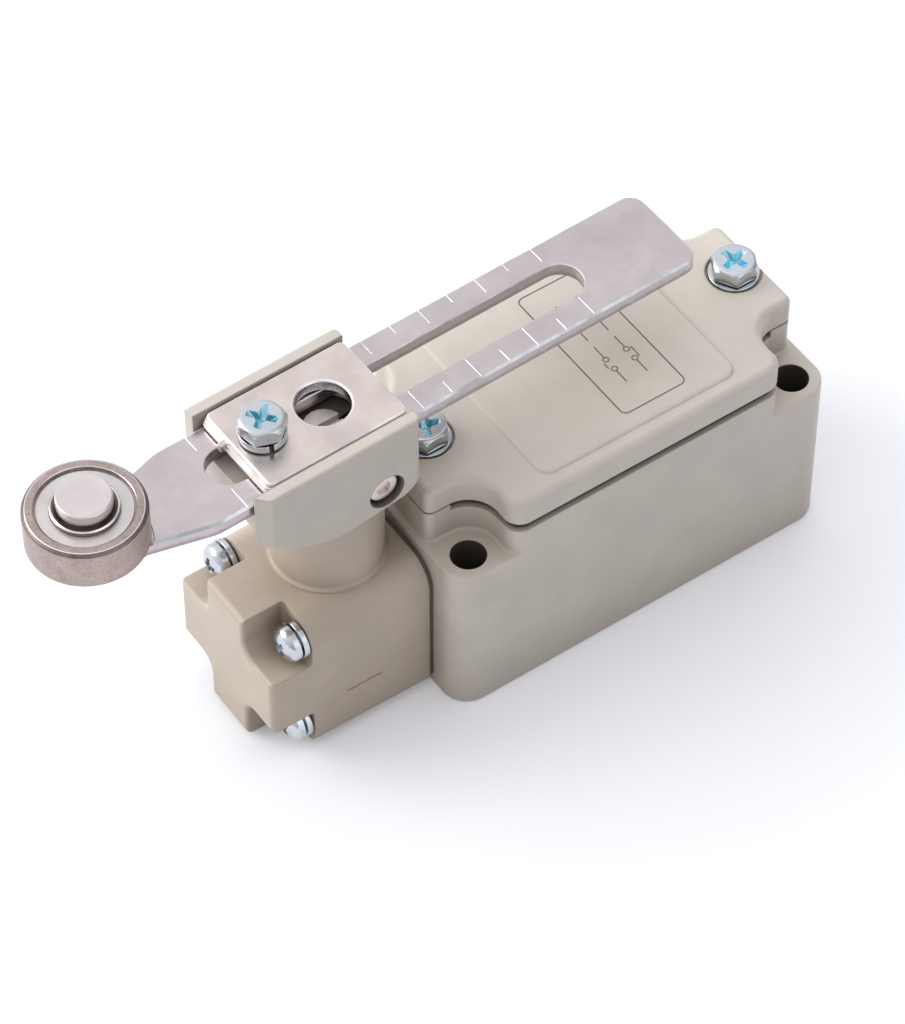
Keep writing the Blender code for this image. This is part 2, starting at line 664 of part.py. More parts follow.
def make_case(paint):
    case = prism("case_body", centred_rectangle(CASE_HALF_LENGTH, CASE_HALF_WIDTH, CASE_CORNER_RADIUS),
                 0.0, CASE_SHOULDER_HEIGHT, paint)
    pad_top = COVER_BOTTOM - SEAT_GAP
    above = pad_top + CUT_MARGIN
    add(case, prism("case_rim", rim_outline(), CASE_SHOULDER_HEIGHT - CASE_FLOOR, pad_top))
    step = block("gasket_step", (-RIM_PAD_X, -CASE_WIDTH, CASE_RIM_HEIGHT), (RIM_PAD_X, CASE_WIDTH, above))
    cut(case, step)
    cut(case, prism("case_cavity", cavity_outline(), CASE_FLOOR, above))

    post_top = CASE_FLOOR + GROUND_POST_HEIGHT
    post = rod("ground_post", GROUND_POST_RADIUS, CASE_FLOOR / 2, post_top, ROUND_SMALL)
    add(case, place(post, ground_place()))
    ground_x, ground_y, _ = ground_place()
    cut(case, bore("ground_hole", SMALL_HOLE_RADIUS, (ground_x, ground_y, CASE_FLOOR + SEAT_GAP),
                   (ground_x, ground_y, post_top + CUT_MARGIN), ROUND_SMALL))

    mouth = CASE_HALF_LENGTH + CUT_MARGIN
    outer = CONDUIT_RADIUS + CONDUIT_CHAMFER
    conduit = turned("conduit_cut",
                     [(CONDUIT_RADIUS, CAVITY_HALF_LENGTH - CUT_MARGIN),
                      (CONDUIT_RADIUS, CASE_HALF_LENGTH - CONDUIT_CHAMFER),
                      (outer, CASE_HALF_LENGTH), (outer, mouth)], ROUND_LARGE)
    place(conduit, (0.0, 0.0, WORKING_HEIGHT), "X")
    cut(case, conduit)

    for i, (sign_x, sign_y) in enumerate(((-1, -1), (1, -1), (1, 1), (-1, 1))):
        x, y = sign_x * MOUNT_HOLE_X, sign_y * MOUNT_HOLE_Y
        cut(case, bore(f"mount_hole_{i + 1}", MOUNT_HOLE_RADIUS, (x, y, -CUT_MARGIN),
                       (x, y, CASE_SHOULDER_HEIGHT + CUT_MARGIN)))

    for i, x in enumerate(COVER_SCREW_PLACES):
        bottom = CASE_RIM_HEIGHT - COVER_SCREW_REACH - SEAT_GAP
        cut(case, bore(f"cover_screw_hole_{i + 1}", SCREW_HOLE_RADIUS, (x, 0.0, bottom), (x, 0.0, above),
                       ROUND_SMALL))

    face = -CASE_HALF_LENGTH - CUT_MARGIN
    for i, (y, z) in enumerate(head_screw_places()):
        cut(case, bore(f"head_screw_hole_{i + 1}", SMALL_HOLE_RADIUS, (face, y, z),
                       (-CASE_HALF_LENGTH + HEAD_SCREW_REACH + SEAT_GAP, y, z), ROUND_SMALL))

    plunger_line = (0.0, WORKING_HEIGHT)
    cut(case,
        bore("plunger_hole", PLUNGER_RADIUS + SEAT_GAP, (face, *plunger_line),
             (-CAVITY_HALF_LENGTH + CUT_MARGIN, *plunger_line)),
        bore("spring_pocket", SPRING_POCKET_RADIUS, (face, *plunger_line), (SPRING_POCKET_X, *plunger_line)),
        bore("seal_pocket", PLUNGER_SEAL_RADIUS + SEAT_GAP,
             (-CAVITY_HALF_LENGTH - PLUNGER_SEAL_LENGTH - SEAT_GAP, *plunger_line),
             (-CAVITY_HALF_LENGTH + CUT_MARGIN, *plunger_line)))

    for i, (x, y) in enumerate(block_screw_places()):
        cut(case, bore(f"block_screw_hole_{i + 1}", SMALL_HOLE_RADIUS, (x, y, CASE_FLOOR / 2),
                       (x, y, CASE_FLOOR + CUT_MARGIN), ROUND_SMALL))
    return case


def make_gasket(rubber):
    low = GASKET_BOTTOM - CUT_MARGIN
    high = GASKET_BOTTOM + GASKET_THICKNESS + CUT_MARGIN
    gasket = prism("cover_gasket", rim_outline(GASKET_INSET), GASKET_BOTTOM, GASKET_BOTTOM + GASKET_THICKNESS,
                   rubber)
    reach = RIM_PAD_X - SEAT_GAP
    combine(gasket, block("gasket_ends", (-reach, -CASE_WIDTH, low), (reach, CASE_WIDTH, high)), "INTERSECT")
    cut(gasket, prism("gasket_window", cavity_outline(), low, high))
    for i, x in enumerate(COVER_SCREW_PLACES):
        hole = bore(f"gasket_hole_{i + 1}", SCREW_HOLE_RADIUS, (x, 0.0, low), (x, 0.0, high), ROUND_SMALL)
        cut(gasket, hole)
    return gasket


def make_label_panel():
    """Raised part of the cover, rounded over at its edge and sunk into the cover's skin."""

    def outline(inset):
        return centred_rectangle(LABEL_PANEL_LENGTH / 2 - inset, LABEL_PANEL_WIDTH / 2 - inset,
                                 LABEL_PANEL_CORNER - inset)

    panel_top = COVER_TOP + LABEL_PANEL_RISE
    loops = [[(x, y, COVER_TOP - COVER_SKIN / 2) for x, y in outline(0.0)]]
    for inset, drop in rounding_steps(1.0):
        height = panel_top - drop * LABEL_PANEL_RISE
        loops.append([(x, y, height) for x, y in outline(inset * LABEL_PANEL_SLOPE)])
    return loft("label_panel", loops)


def make_cover(paint):
    loops = [[(x, y, COVER_BOTTOM) for x, y in rim_outline()]]
    for inset, drop in rounding_steps(COVER_EDGE_RADIUS):
        loops.append([(x, y, COVER_TOP - drop) for x, y in rim_outline(inset)])
    cover = loft("cover", loops, paint)
    pocket_top = COVER_TOP - COVER_SKIN
    cut(cover, prism("cover_pocket", cavity_outline(SEAT_GAP), COVER_BOTTOM - CUT_MARGIN, pocket_top))
    add(cover, make_label_panel())
    for i, x in enumerate(COVER_SCREW_PLACES):
        cut(cover,
            bore(f"spot_face_{i + 1}", SPOT_FACE_RADIUS, (x, 0.0, COVER_TOP - SPOT_FACE_DEPTH),
                 (x, 0.0, COVER_TOP + CUT_MARGIN)),
            bore(f"cover_hole_{i + 1}", SCREW_HOLE_RADIUS, (x, 0.0, COVER_BOTTOM - CUT_MARGIN),
                 (x, 0.0, COVER_TOP), ROUND_SMALL))
    return cover


def make_cover_screws(zinc):
    washer_seat = COVER_TOP - SPOT_FACE_DEPTH + SEAT_GAP
    seat = washer_seat + COVER_WASHER_THICKNESS + SEAT_GAP
    length = seat - CASE_RIM_HEIGHT + COVER_SCREW_REACH
    for i, (x, angle) in enumerate(zip(COVER_SCREW_PLACES, COVER_CROSS_ANGLES)):
        washer = ring(f"cover_washer_{i + 1}", zinc, SCREW_HOLE_RADIUS, COVER_WASHER_RADIUS, 0.0,
                      COVER_WASHER_THICKNESS)
        place(washer, (x, 0.0, washer_seat))
        place(hex_screw(f"cover_screw_{i + 1}", zinc, length, angle), (x, 0.0, seat))


# ---------------------------------------------------------------- operating head


def head_screw_places():
    """(y, z) of the four head screws."""
    return [(sign_y * HEAD_SCREW_PITCH_Y / 2, WORKING_HEIGHT + sign_z * HEAD_SCREW_PITCH_Z / 2)
            for sign_y, sign_z in ((-1, 1), (1, 1), (-1, -1), (1, -1))]


def make_head(paint):
    loops = [[(HEAD_FACE_X, y, z) for y, z in head_outline(0.0, 0.0)]]
    for inset, drop in rounding_steps(HEAD_END_RADIUS):
        loops.append([(HEAD_END_X + drop, y, z) for y, z in head_outline(HEAD_DRAFT, inset)])
    head = loft("head_housing", loops, paint)

    far = HEAD_HALF_WIDTH + HEAD_TOP
    near = HEAD_END_X - CUT_MARGIN
    small = HEAD_NOTCH_FILLET
    for i, (y, z) in enumerate(head_screw_places()):
        if y > 0:
            low_y, high_y = HEAD_NOTCH_HALF_Y, far
        else:
            low_y, high_y = -far, -HEAD_NOTCH_HALF_Y
        if z > WORKING_HEIGHT:
            low_z, high_z = WORKING_HEIGHT + HEAD_NOTCH_HALF_Z, far
        else:
            low_z, high_z = -far, WORKING_HEIGHT - HEAD_NOTCH_HALF_Z
        outline = rounded_rectangle((low_y, low_z), (high_y, high_z), (small,) * 4)
        cut(head, prism_along_x(f"head_notch_{i + 1}", outline, near, HEAD_SEAT_X))

    boss = rod("head_boss", BOSS_RADIUS, WORKING_HEIGHT, BOSS_TOP, ROUND_LARGE)
    place(boss, (SHAFT_X, 0.0, 0.0))
    add(head, boss)

    open_end = HEAD_FACE_X + CUT_MARGIN
    cut(head, bore("head_cavity", HEAD_CAVITY_RADIUS, (HEAD_CAVITY_END_X, 0.0, WORKING_HEIGHT),
                   (open_end, 0.0, WORKING_HEIGHT), ROUND_LARGE))
    for i, (y, z) in enumerate(head_screw_places()):
        cut(head, bore(f"head_clearance_{i + 1}", SMALL_HOLE_RADIUS, (HEAD_SEAT_X - CUT_MARGIN, y, z),
                       (open_end, y, z), ROUND_SMALL))
    mouth = BOSS_TOP + CUT_MARGIN
    pivot_end = CAVITY_BOTTOM_Z - PIVOT_DEPTH - SEAT_GAP
    for name, radius, low, high in (("shaft_bore", JOURNAL_RADIUS + SEAT_GAP, WORKING_HEIGHT, mouth),
                                    ("bush_bore", BUSH_RADIUS + SEAT_GAP, bush_bottom() - SEAT_GAP, mouth),
                                    ("pivot_bore", PIVOT_RADIUS + RUNNING_GAP, pivot_end, WORKING_HEIGHT)):
        cut(head, bore(name, radius, (SHAFT_X, 0.0, low), (SHAFT_X, 0.0, high)))
    return head


def make_head_gasket(rubber):
    outer_x = HEAD_GASKET_X - HEAD_GASKET_THICKNESS
    gasket = prism_along_x("head_gasket", head_outline(0.0, GASKET_GAP), outer_x, HEAD_GASKET_X, rubber)
    start = HEAD_FACE_X - CUT_MARGIN
    end = -CASE_HALF_LENGTH + CUT_MARGIN
    cut(gasket, bore("head_gasket_window", HEAD_CAVITY_RADIUS, (start, 0.0, WORKING_HEIGHT),
                     (end, 0.0, WORKING_HEIGHT)))
    for i, (y, z) in enumerate(head_screw_places()):
        hole = bore(f"head_gasket_hole_{i + 1}", SMALL_HOLE_RADIUS, (start, y, z), (end, y, z), ROUND_SMALL)
        cut(gasket, hole)
    return gasket


def make_head_screws(zinc):
    washer_x = HEAD_SEAT_X - SEAT_GAP
    screw_x = washer_x - SMALL_WASHER_THICKNESS - SEAT_GAP
    length = -CASE_HALF_LENGTH + HEAD_SCREW_REACH - screw_x
    for i, (y, z) in enumerate(head_screw_places()):
        washer = split_washer(f"head_washer_{i + 1}", zinc, SMALL_HOLE_RADIUS, SMALL_WASHER_RADIUS,
                              SMALL_WASHER_THICKNESS)
        place(washer, (washer_x, y, z), "-X")
        place(pan_screw(f"head_screw_{i + 1}", zinc, length, SMALL_PAN), (screw_x, y, z), "-X")


def bush_bottom():
    return BOSS_TOP - SEAL_DEPTH - SEAL_LENGTH - SEAT_GAP - BUSH_LENGTH


def make_bearings(bronze, rubber):
    inner = JOURNAL_RADIUS + RUNNING_GAP
    bush = ring("shaft_bush", bronze, inner, BUSH_RADIUS, bush_bottom(), BUSH_LENGTH)
    seal = ring("shaft_seal", rubber, inner, BUSH_RADIUS, BOSS_TOP - SEAL_DEPTH - SEAL_LENGTH, SEAL_LENGTH)
    for item in (bush, seal):
        place(item, (SHAFT_X, 0.0, 0.0))


# ---------------------------------------------------------------- shaft and cam


def cavity_rise(offset):
    """Height from the working level to the curved wall of the head cavity, at an offset across it."""
    return math.sqrt(HEAD_CAVITY_RADIUS ** 2 - offset ** 2) - SEAT_GAP


def clip_bottom():
    """Underside of the retaining clip, just under the curved roof of the head cavity."""
    return WORKING_HEIGHT + cavity_rise(CLIP_RADIUS) - CLIP_THICKNESS


def make_shaft(steel, axis):
    low = CAVITY_BOTTOM_Z - PIVOT_DEPTH
    clip_low = clip_bottom() - SEAT_GAP / 2
    clip_high = clip_low + CLIP_THICKNESS + SEAT_GAP
    groove_low = HUB_CLAMP_HEIGHT - CLAMP_GROOVE_HALF_HEIGHT
    groove_high = HUB_CLAMP_HEIGHT + CLAMP_GROOVE_HALF_HEIGHT
    spindle_low = WORKING_HEIGHT - cavity_rise(SPINDLE_RADIUS)
    profile = [
        (PIVOT_RADIUS, low), (PIVOT_RADIUS, spindle_low),
        (SPINDLE_RADIUS, spindle_low), (SPINDLE_RADIUS, clip_low),
        (SPINDLE_RADIUS - CLIP_DEPTH, clip_low), (SPINDLE_RADIUS - CLIP_DEPTH, clip_high),
        (SPINDLE_RADIUS, clip_high), (SPINDLE_RADIUS, CAVITY_TOP_Z),
        (JOURNAL_RADIUS, CAVITY_TOP_Z), (JOURNAL_RADIUS, BOSS_TOP),
        (SPINDLE_RADIUS, BOSS_TOP), (SPINDLE_RADIUS, groove_low),
        (CLAMP_GROOVE_RADIUS, groove_low), (CLAMP_GROOVE_RADIUS, groove_high),
        (SPINDLE_RADIUS, groove_high), (SPINDLE_RADIUS, SHAFT_TOP),
    ]
    shaft = turned("rotary_shaft", profile, ROUND_MEDIUM, steel, parent=axis)
    half = SHAFT_SLOT_WIDTH / 2
    reach = SPINDLE_RADIUS + CUT_MARGIN
    cut(shaft, block("shaft_slot", (-reach, -half, SHAFT_TOP - SHAFT_SLOT_DEPTH),
                     (reach, half, SHAFT_TOP + CUT_MARGIN), parent=axis))
    return shaft


def make_cam(steel, axis):
    """Round cam with a V-shaped valley that faces the plunger at rest."""
    outline = []
    for i in range(ROUND_LARGE):
        angle = math.pi * (2 * i / ROUND_LARGE)
        offset = min(angle, 2 * math.pi - angle)
        share = min(1.0, offset / CAM_VALLEY_ANGLE)
        radius = CAM_VALLEY_RADIUS + (CAM_LOBE_RADIUS - CAM_VALLEY_RADIUS) * share
        outline.append((radius * math.cos(angle), radius * math.sin(angle)))
    low = WORKING_HEIGHT - CAM_THICKNESS / 2
    high = WORKING_HEIGHT + CAM_THICKNESS / 2
    cam = prism("shaft_cam", outline, low, high, steel, axis)
    cut(cam, bore("cam_bore", SPINDLE_RADIUS + RUNNING_GAP, (0.0, 0.0, low - CUT_MARGIN),
                  (0.0, 0.0, high + CUT_MARGIN), parent=axis))
    return cam


def make_clip(steel, axis):
    inner = SPINDLE_RADIUS - CLIP_DEPTH + RUNNING_GAP
    outline = ring_with_gap(inner, CLIP_RADIUS, CLIP_GAP, ROUND_SMALL)
    return prism("shaft_clip", outline, clip_bottom(), clip_bottom() + CLIP_THICKNESS, steel, axis)


def make_return_spring(steel, axis):
    """Torsion spring below the cam, with two straight legs."""
    top = WORKING_HEIGHT - CAM_THICKNESS / 2 - SEAT_GAP - RETURN_SPRING_WIRE / 2
    rise = RETURN_SPRING_TURNS * RETURN_SPRING_PITCH
    radius = SPINDLE_RADIUS + RETURN_SPRING_PLAY + RETURN_SPRING_WIRE / 2
    coil = helix(radius, top - rise, top, RETURN_SPRING_TURNS)
    first = (coil[0][0], -RETURN_SPRING_LEG, coil[0][2])
    last = (coil[-1][0], RETURN_SPRING_LEG, coil[-1][2])
    return wire("return_spring", [first] + coil + [last], RETURN_SPRING_WIRE, steel, axis)


# ---------------------------------------------------------------- plunger


def make_plunger(resin, steel, rubber):
    slide = pivot("plunger_axis", (PLUNGER_TIP_X, 0.0, WORKING_HEIGHT))
    end = BUTTON_END_X - SEAT_GAP - PLUNGER_TIP_X
    flange = PLUNGER_TIP + PLUNGER_FLANGE_THICKNESS
    profile = [(PLUNGER_TIP_RADIUS, 0.0), (PLUNGER_SHOULDER_RADIUS, PLUNGER_SHOULDER),
               (PLUNGER_RADIUS, PLUNGER_TIP), (PLUNGER_FLANGE_RADIUS, PLUNGER_TIP),
               (PLUNGER_FLANGE_RADIUS, flange), (PLUNGER_RADIUS, flange), (PLUNGER_RADIUS, end)]
    place(turned("plunger", profile, ROUND_SMALL, resin, parent=slide), (0.0, 0.0, 0.0), "X")

    start = PLUNGER_FLANGE_X + PLUNGER_FLANGE_THICKNESS + SEAT_GAP + PLUNGER_SPRING_WIRE / 2
    stop = SPRING_POCKET_X - SEAT_GAP - PLUNGER_SPRING_WIRE / 2
    radius = (PLUNGER_RADIUS + SPRING_POCKET_RADIUS) / 2
    coil = helix(radius, 0.0, stop - start, PLUNGER_SPRING_TURNS)
    spring = wire("plunger_spring", coil, PLUNGER_SPRING_WIRE, steel)
    place(spring, (start, 0.0, WORKING_HEIGHT), "X")

    inner = PLUNGER_RADIUS + RUNNING_GAP
    seal = ring("plunger_seal", rubber, inner, PLUNGER_SEAL_RADIUS, 0.0, PLUNGER_SEAL_LENGTH)
    place(seal, (-CAVITY_HALF_LENGTH - PLUNGER_SEAL_LENGTH, 0.0, WORKING_HEIGHT), "X")


# ---------------------------------------------------------------- switch block


def block_screw_places():
    """(x, y) of the two screws that hold the switch block to the case floor."""
    inset = SMALL_HEAD_SPACE
    return [(BLOCK_MIN_X + inset, BLOCK_WIDTH / 2 - inset), (BLOCK_MAX_X - inset, 0.0)]


def ground_place():
    """Foot of the ground post, in the wiring space beside the conduit entry."""
    x = CAVITY_HALF_LENGTH - GROUND_POST_RADIUS - SEAT_GAP
    y = -CAVITY_HALF_WIDTH + GROUND_POST_RADIUS + SEAT_GAP
    return (x, y, 0.0)


def contact_faces():
    """(x of the fixed contact's face, direction away from the bridge) for each pair."""
    back = BRIDGE_X - BRIDGE_THICKNESS / 2 - SEAT_GAP
    front = BRIDGE_X + BRIDGE_THICKNESS / 2 + SEAT_GAP + PLUNGER_TRAVEL
    return [(back, -1), (front, 1)]


def terminal_slots():
    """(x_low, x_high, y) of the slots through the lid for the four terminals."""
    slots = []
    for face, direction in contact_faces():
        other = face + direction * TERMINAL_THICKNESS
        for sign_y in (-1, 1):
            slots.append((min(face, other), max(face, other), sign_y * CONTACT_PITCH / 2))
    return slots


def make_switch_block(resin, button, brass, silver, steel, zinc):
    half = BLOCK_WIDTH / 2
    base = block("switch_base", (BLOCK_MIN_X, -half, BLOCK_BOTTOM), (BLOCK_MAX_X, half, BASE_TOP), resin)
    floor = BLOCK_BOTTOM + BLOCK_WALL
    cut(base, block("base_pocket", (BLOCK_MIN_X + BLOCK_WALL, -half + BLOCK_WALL, floor),
                    (BLOCK_MAX_X - BLOCK_WALL, half - BLOCK_WALL, BASE_TOP + CUT_MARGIN)))
    cut(base, bore("button_hole", BUTTON_RADIUS + SEAT_GAP, (BLOCK_MIN_X - CUT_MARGIN, 0.0, WORKING_HEIGHT),
                   (BLOCK_MIN_X + BLOCK_WALL + CUT_MARGIN, 0.0, WORKING_HEIGHT), ROUND_SMALL))
    lid = block("switch_lid", (BLOCK_MIN_X, -half, LID_BOTTOM), (BLOCK_MAX_X, half, LID_TOP), resin)

    spring_start = BRIDGE_X + TERMINAL_SETBACK + SEAT_GAP + CONTACT_SPRING_WIRE / 2
    wall_x = spring_start + CONTACT_SPRING_LENGTH + CONTACT_SPRING_WIRE / 2 + SEAT_GAP
    root = BLOCK_BOTTOM + BLOCK_WALL / 2
    add(base, block("spring_wall", (wall_x, -SPRING_WALL_HALF_WIDTH, root),
                    (wall_x + BLOCK_WALL, SPRING_WALL_HALF_WIDTH, WORKING_HEIGHT + BUTTON_RADIUS)))
    for i, (x, y) in enumerate(block_screw_places()):
        post = rod(f"block_post_{i + 1}", SMALL_HEAD_RADIUS, root, BASE_TOP, ROUND_SMALL)
        add(base, place(post, (x, y, 0.0)))
        hole = bore(f"base_hole_{i + 1}", SMALL_HOLE_RADIUS, (x, y, BLOCK_BOTTOM - CUT_MARGIN),
                    (x, y, LID_TOP + CUT_MARGIN), ROUND_SMALL)
        cut(base, hole)
        cut(lid, hole)
        screw = pan_screw(f"switch_screw_{i + 1}", zinc, LID_TOP - CASE_FLOOR / 2, SMALL_PAN)
        place(screw, (x, y, LID_TOP + SEAT_GAP))

    slide = pivot("button_axis", (BUTTON_END_X, 0.0, WORKING_HEIGHT))
    stop = BRIDGE_X + TERMINAL_SETBACK - BUTTON_END_X
    stem = rod("switch_button", BUTTON_RADIUS, 0.0, stop, ROUND_SMALL, button, slide)
    place(stem, (0.0, 0.0, 0.0), "X")
    window = BRIDGE_THICKNESS / 2 + SEAT_GAP
    side = BRIDGE_HEIGHT / 2 + SEAT_GAP
    slot = block("bridge_slot", (-window, -BUTTON_RADIUS - CUT_MARGIN, -side),
                 (window, BUTTON_RADIUS + CUT_MARGIN, side), parent=slide)
    slot.location = (BRIDGE_X - BUTTON_END_X, 0.0, 0.0)
    cut(stem, slot)
    bridge = block("contact_bridge", (-BRIDGE_THICKNESS / 2, -BRIDGE_SPAN / 2, -BRIDGE_HEIGHT / 2),
                   (BRIDGE_THICKNESS / 2, BRIDGE_SPAN / 2, BRIDGE_HEIGHT / 2), silver, slide)
    bridge.location = (BRIDGE_X - BUTTON_END_X, 0.0, 0.0)

    coil = helix(CONTACT_SPRING_RADIUS, 0.0, CONTACT_SPRING_LENGTH, CONTACT_SPRING_TURNS)
    spring = wire("contact_spring", coil, CONTACT_SPRING_WIRE, steel)
    place(spring, (spring_start, 0.0, WORKING_HEIGHT), "X")
    make_terminals(lid, brass, zinc)


def make_terminals(lid, brass, zinc):
    """L-shaped strips: a contact below the lid, and a tab with a screw on top of it."""
    half_width = TERMINAL_WIDTH / 2
    contact_low = WORKING_HEIGHT - CONTACT_HEIGHT / 2
    tab_low = LID_TOP + SEAT_GAP
    tab_high = tab_low + TERMINAL_THICKNESS
    thread_low = LID_BOTTOM + SEAT_GAP
    for i, (low_x, high_x, y) in enumerate(terminal_slots()):
        if low_x < BRIDGE_X:
            tab_end = low_x - TERMINAL_TAB
            outline = [(low_x, contact_low), (high_x, contact_low), (high_x, tab_high), (tab_end, tab_high),
                       (tab_end, tab_low), (low_x, tab_low)]
            screw_x = (low_x + tab_end) / 2
        else:
            tab_end = high_x + TERMINAL_TAB
            outline = [(low_x, contact_low), (high_x, contact_low), (high_x, tab_low), (tab_end, tab_low),
                       (tab_end, tab_high), (low_x, tab_high)]
            screw_x = (high_x + tab_end) / 2
        terminal = prism_along_y(f"terminal_{i + 1}", outline, y - half_width, y + half_width, brass)
        low = (low_x - SEAT_GAP, y - half_width - SEAT_GAP, LID_BOTTOM - CUT_MARGIN)
        high = (high_x + SEAT_GAP, y + half_width + SEAT_GAP, LID_TOP + CUT_MARGIN)
        hole = bore(f"terminal_hole_{i + 1}", TINY_HOLE_RADIUS, (screw_x, y, thread_low),
                    (screw_x, y, tab_high + CUT_MARGIN), ROUND_SMALL)
        cut(terminal, hole)
        cut(lid, block(f"lid_slot_{i + 1}", low, high), hole)
        length = tab_high - thread_low
        screw = pan_screw(f"terminal_screw_{i + 1}", zinc, length, TINY_PAN, blades=1)
        place(screw, (screw_x, y, tab_high + SEAT_GAP))


def make_ground_screw(zinc):
    x, y, _ = ground_place()
    seat = CASE_FLOOR + GROUND_POST_HEIGHT + SEAT_GAP
    place(pan_screw("ground_screw", zinc, GROUND_POST_HEIGHT - SEAT_GAP, SMALL_PAN), (x, y, seat))


# ---------------------------------------------------------------- lever


def hub_side_profile():
    """(u, z) outline of the hub seen from the side, with its curved belly."""
    left = -HUB_ROLLER_END - HUB_LUG
    sweep = math.degrees(HUB_BELLY_SWEEP)
    belly_centre = (-HUB_BELLY_OFFSET, HUB_BOTTOM + HUB_BELLY_RADIUS)
    belly = arc(belly_centre, HUB_BELLY_RADIUS, 270 - sweep, 270)
    belly_u, belly_z = belly[0]
    rise = (belly_u - left) * math.tan(HUB_BELLY_SWEEP)
    tail_centre = (HUB_TAIL_END - HUB_TAIL_RADIUS, HUB_BOTTOM + HUB_TAIL_STEP + HUB_TAIL_RADIUS)
    tail = arc(tail_centre, HUB_TAIL_RADIUS, 270, 360)
    return [(left, belly_z + rise)] + belly + tail + [(HUB_TAIL_END, HUB_WALL_TOP), (left, HUB_WALL_TOP)]


def hub_plan():
    """(u, v) outline of the hub seen from above, with the chamfered lug on its front wall."""
    end = -HUB_ROLLER_END
    inner = -HUB_HALF_WIDTH + HUB_WALL
    chamfer = HUB_LUG + SEAT_GAP
    corner = HUB_TAIL_CORNER
    tail = (arc((HUB_TAIL_END - corner, -HUB_HALF_WIDTH + corner), corner, 270, 360)
            + arc((HUB_TAIL_END - corner, HUB_HALF_WIDTH - corner), corner, 0, 90))
    return [(end, HUB_HALF_WIDTH), (end, inner), (end - HUB_LUG, inner), (end - HUB_LUG, inner - SEAT_GAP),
            (end - HUB_LUG + chamfer, -HUB_HALF_WIDTH)] + tail


def make_hub(paint, steel, hub_axis):
    wide = HUB_HALF_WIDTH + CUT_MARGIN
    hub = prism_along_y("lever_hub", hub_side_profile(), -wide, wide, paint, hub_axis)
    plan = prism("hub_plan", hub_plan(), HUB_BOTTOM - CUT_MARGIN, HUB_WALL_TOP + CUT_MARGIN, parent=hub_axis)
    combine(hub, plan, "INTERSECT")
    channel = HUB_HALF_WIDTH - HUB_WALL
    reach = HUB_ROLLER_END + HUB_LUG + CUT_MARGIN
    cut(hub, block("hub_channel", (-reach, -channel, HUB_FLOOR), (reach, channel, HUB_WALL_TOP + CUT_MARGIN),
                   parent=hub_axis))
    cut(hub, bore("hub_bore", SPINDLE_RADIUS + SEAT_GAP, (0.0, 0.0, HUB_BOTTOM - CUT_MARGIN),
                  (0.0, 0.0, HUB_WALL_TOP), parent=hub_axis))
    half_slit = HUB_SLIT / 2
    cut(hub, block("hub_slit", (0.0, -half_slit, HUB_BOTTOM - CUT_MARGIN),
                   (HUB_TAIL_END + CUT_MARGIN, half_slit, HUB_WALL_TOP), parent=hub_axis))
    cut(hub, bore("clamp_screw_hole", SCREW_HOLE_RADIUS,
                  (-CLAMP_SCREW_OFFSET, 0.0, HUB_FLOOR - CLAMP_SCREW_REACH - SEAT_GAP),
                  (-CLAMP_SCREW_OFFSET, 0.0, HUB_FLOOR + CUT_MARGIN), ROUND_SMALL, hub_axis))

    u, z = HUB_CLAMP_OFFSET, HUB_CLAMP_HEIGHT
    head_end = -HUB_HALF_WIDTH + CLAMP_HEAD_RECESS + CLAMP_HEAD_LENGTH
    cut(hub,
        bore("clamp_head_hole", CLAMP_HEAD_RADIUS + SEAT_GAP, (u, -HUB_HALF_WIDTH - CUT_MARGIN, z),
             (u, head_end + SEAT_GAP, z), ROUND_MEDIUM, hub_axis),
        bore("clamp_bolt_hole", CLAMP_BOLT_RADIUS + SEAT_GAP, (u, -HUB_HALF_WIDTH, z),
             (u, head_end + CLAMP_BOLT_LENGTH + SEAT_GAP, z), ROUND_SMALL, hub_axis))
    bolt_profile = [(CLAMP_HEAD_RADIUS - SEAT_GAP, 0.0), (CLAMP_HEAD_RADIUS, SEAT_GAP),
                    (CLAMP_HEAD_RADIUS, CLAMP_HEAD_LENGTH), (CLAMP_BOLT_RADIUS, CLAMP_HEAD_LENGTH),
                    (CLAMP_BOLT_RADIUS, CLAMP_HEAD_LENGTH + CLAMP_BOLT_LENGTH)]
    bolt = turned("hub_clamp_bolt", bolt_profile, ROUND_MEDIUM, steel, parent=hub_axis)
    place(bolt, (u, head_end - CLAMP_HEAD_LENGTH, z), "Y")
    socket = hexagon(CLAMP_HEX / 2 / math.cos(math.pi / HEX_SIDES))
    cut(bolt, prism("clamp_socket", socket, -CUT_MARGIN, CLAMP_HEX_DEPTH, parent=bolt))


def arm_outline(inset=0.0):
    """(u, v) outline of the arm: square tail, tapered neck and round nose."""
    half = ARM_HALF_WIDTH - inset
    corner = ARM_CORNER_RADIUS - inset
    nose = ARM_NOSE_RADIUS - inset
    tail = ARM_TAIL - inset
    taper = math.atan2(ARM_HALF_WIDTH - ARM_NOSE_RADIUS, ARM_NECK_END - ARM_NECK_START)
    bend = ARM_NECK_BEND - inset
    bend_u = -ARM_NECK_START + ARM_NECK_BEND * math.tan(taper / 2)
    upper = arc((tail - corner, half - corner), corner, 0, 90)
    upper += arc((bend_u, half - bend), bend, 90, 90 + math.degrees(taper), BEND_STEPS)
    upper.append((-ARM_NECK_END, nose))
    nose_arc = arc((-ROLLER_OFFSET, 0.0), nose, 90, 270, ROUND_SMALL)
    lower = [(u, -v) for u, v in reversed(upper)]
    return upper + nose_arc + lower


def slot_outline():
    radius = SLOT_HALF_WIDTH
    return (arc((SLOT_TAIL_END - radius, 0.0), radius, -90, 90, ROUND_SMALL)
            + arc((-SLOT_ROLLER_END + radius, 0.0), radius, 90, 270, ROUND_SMALL))


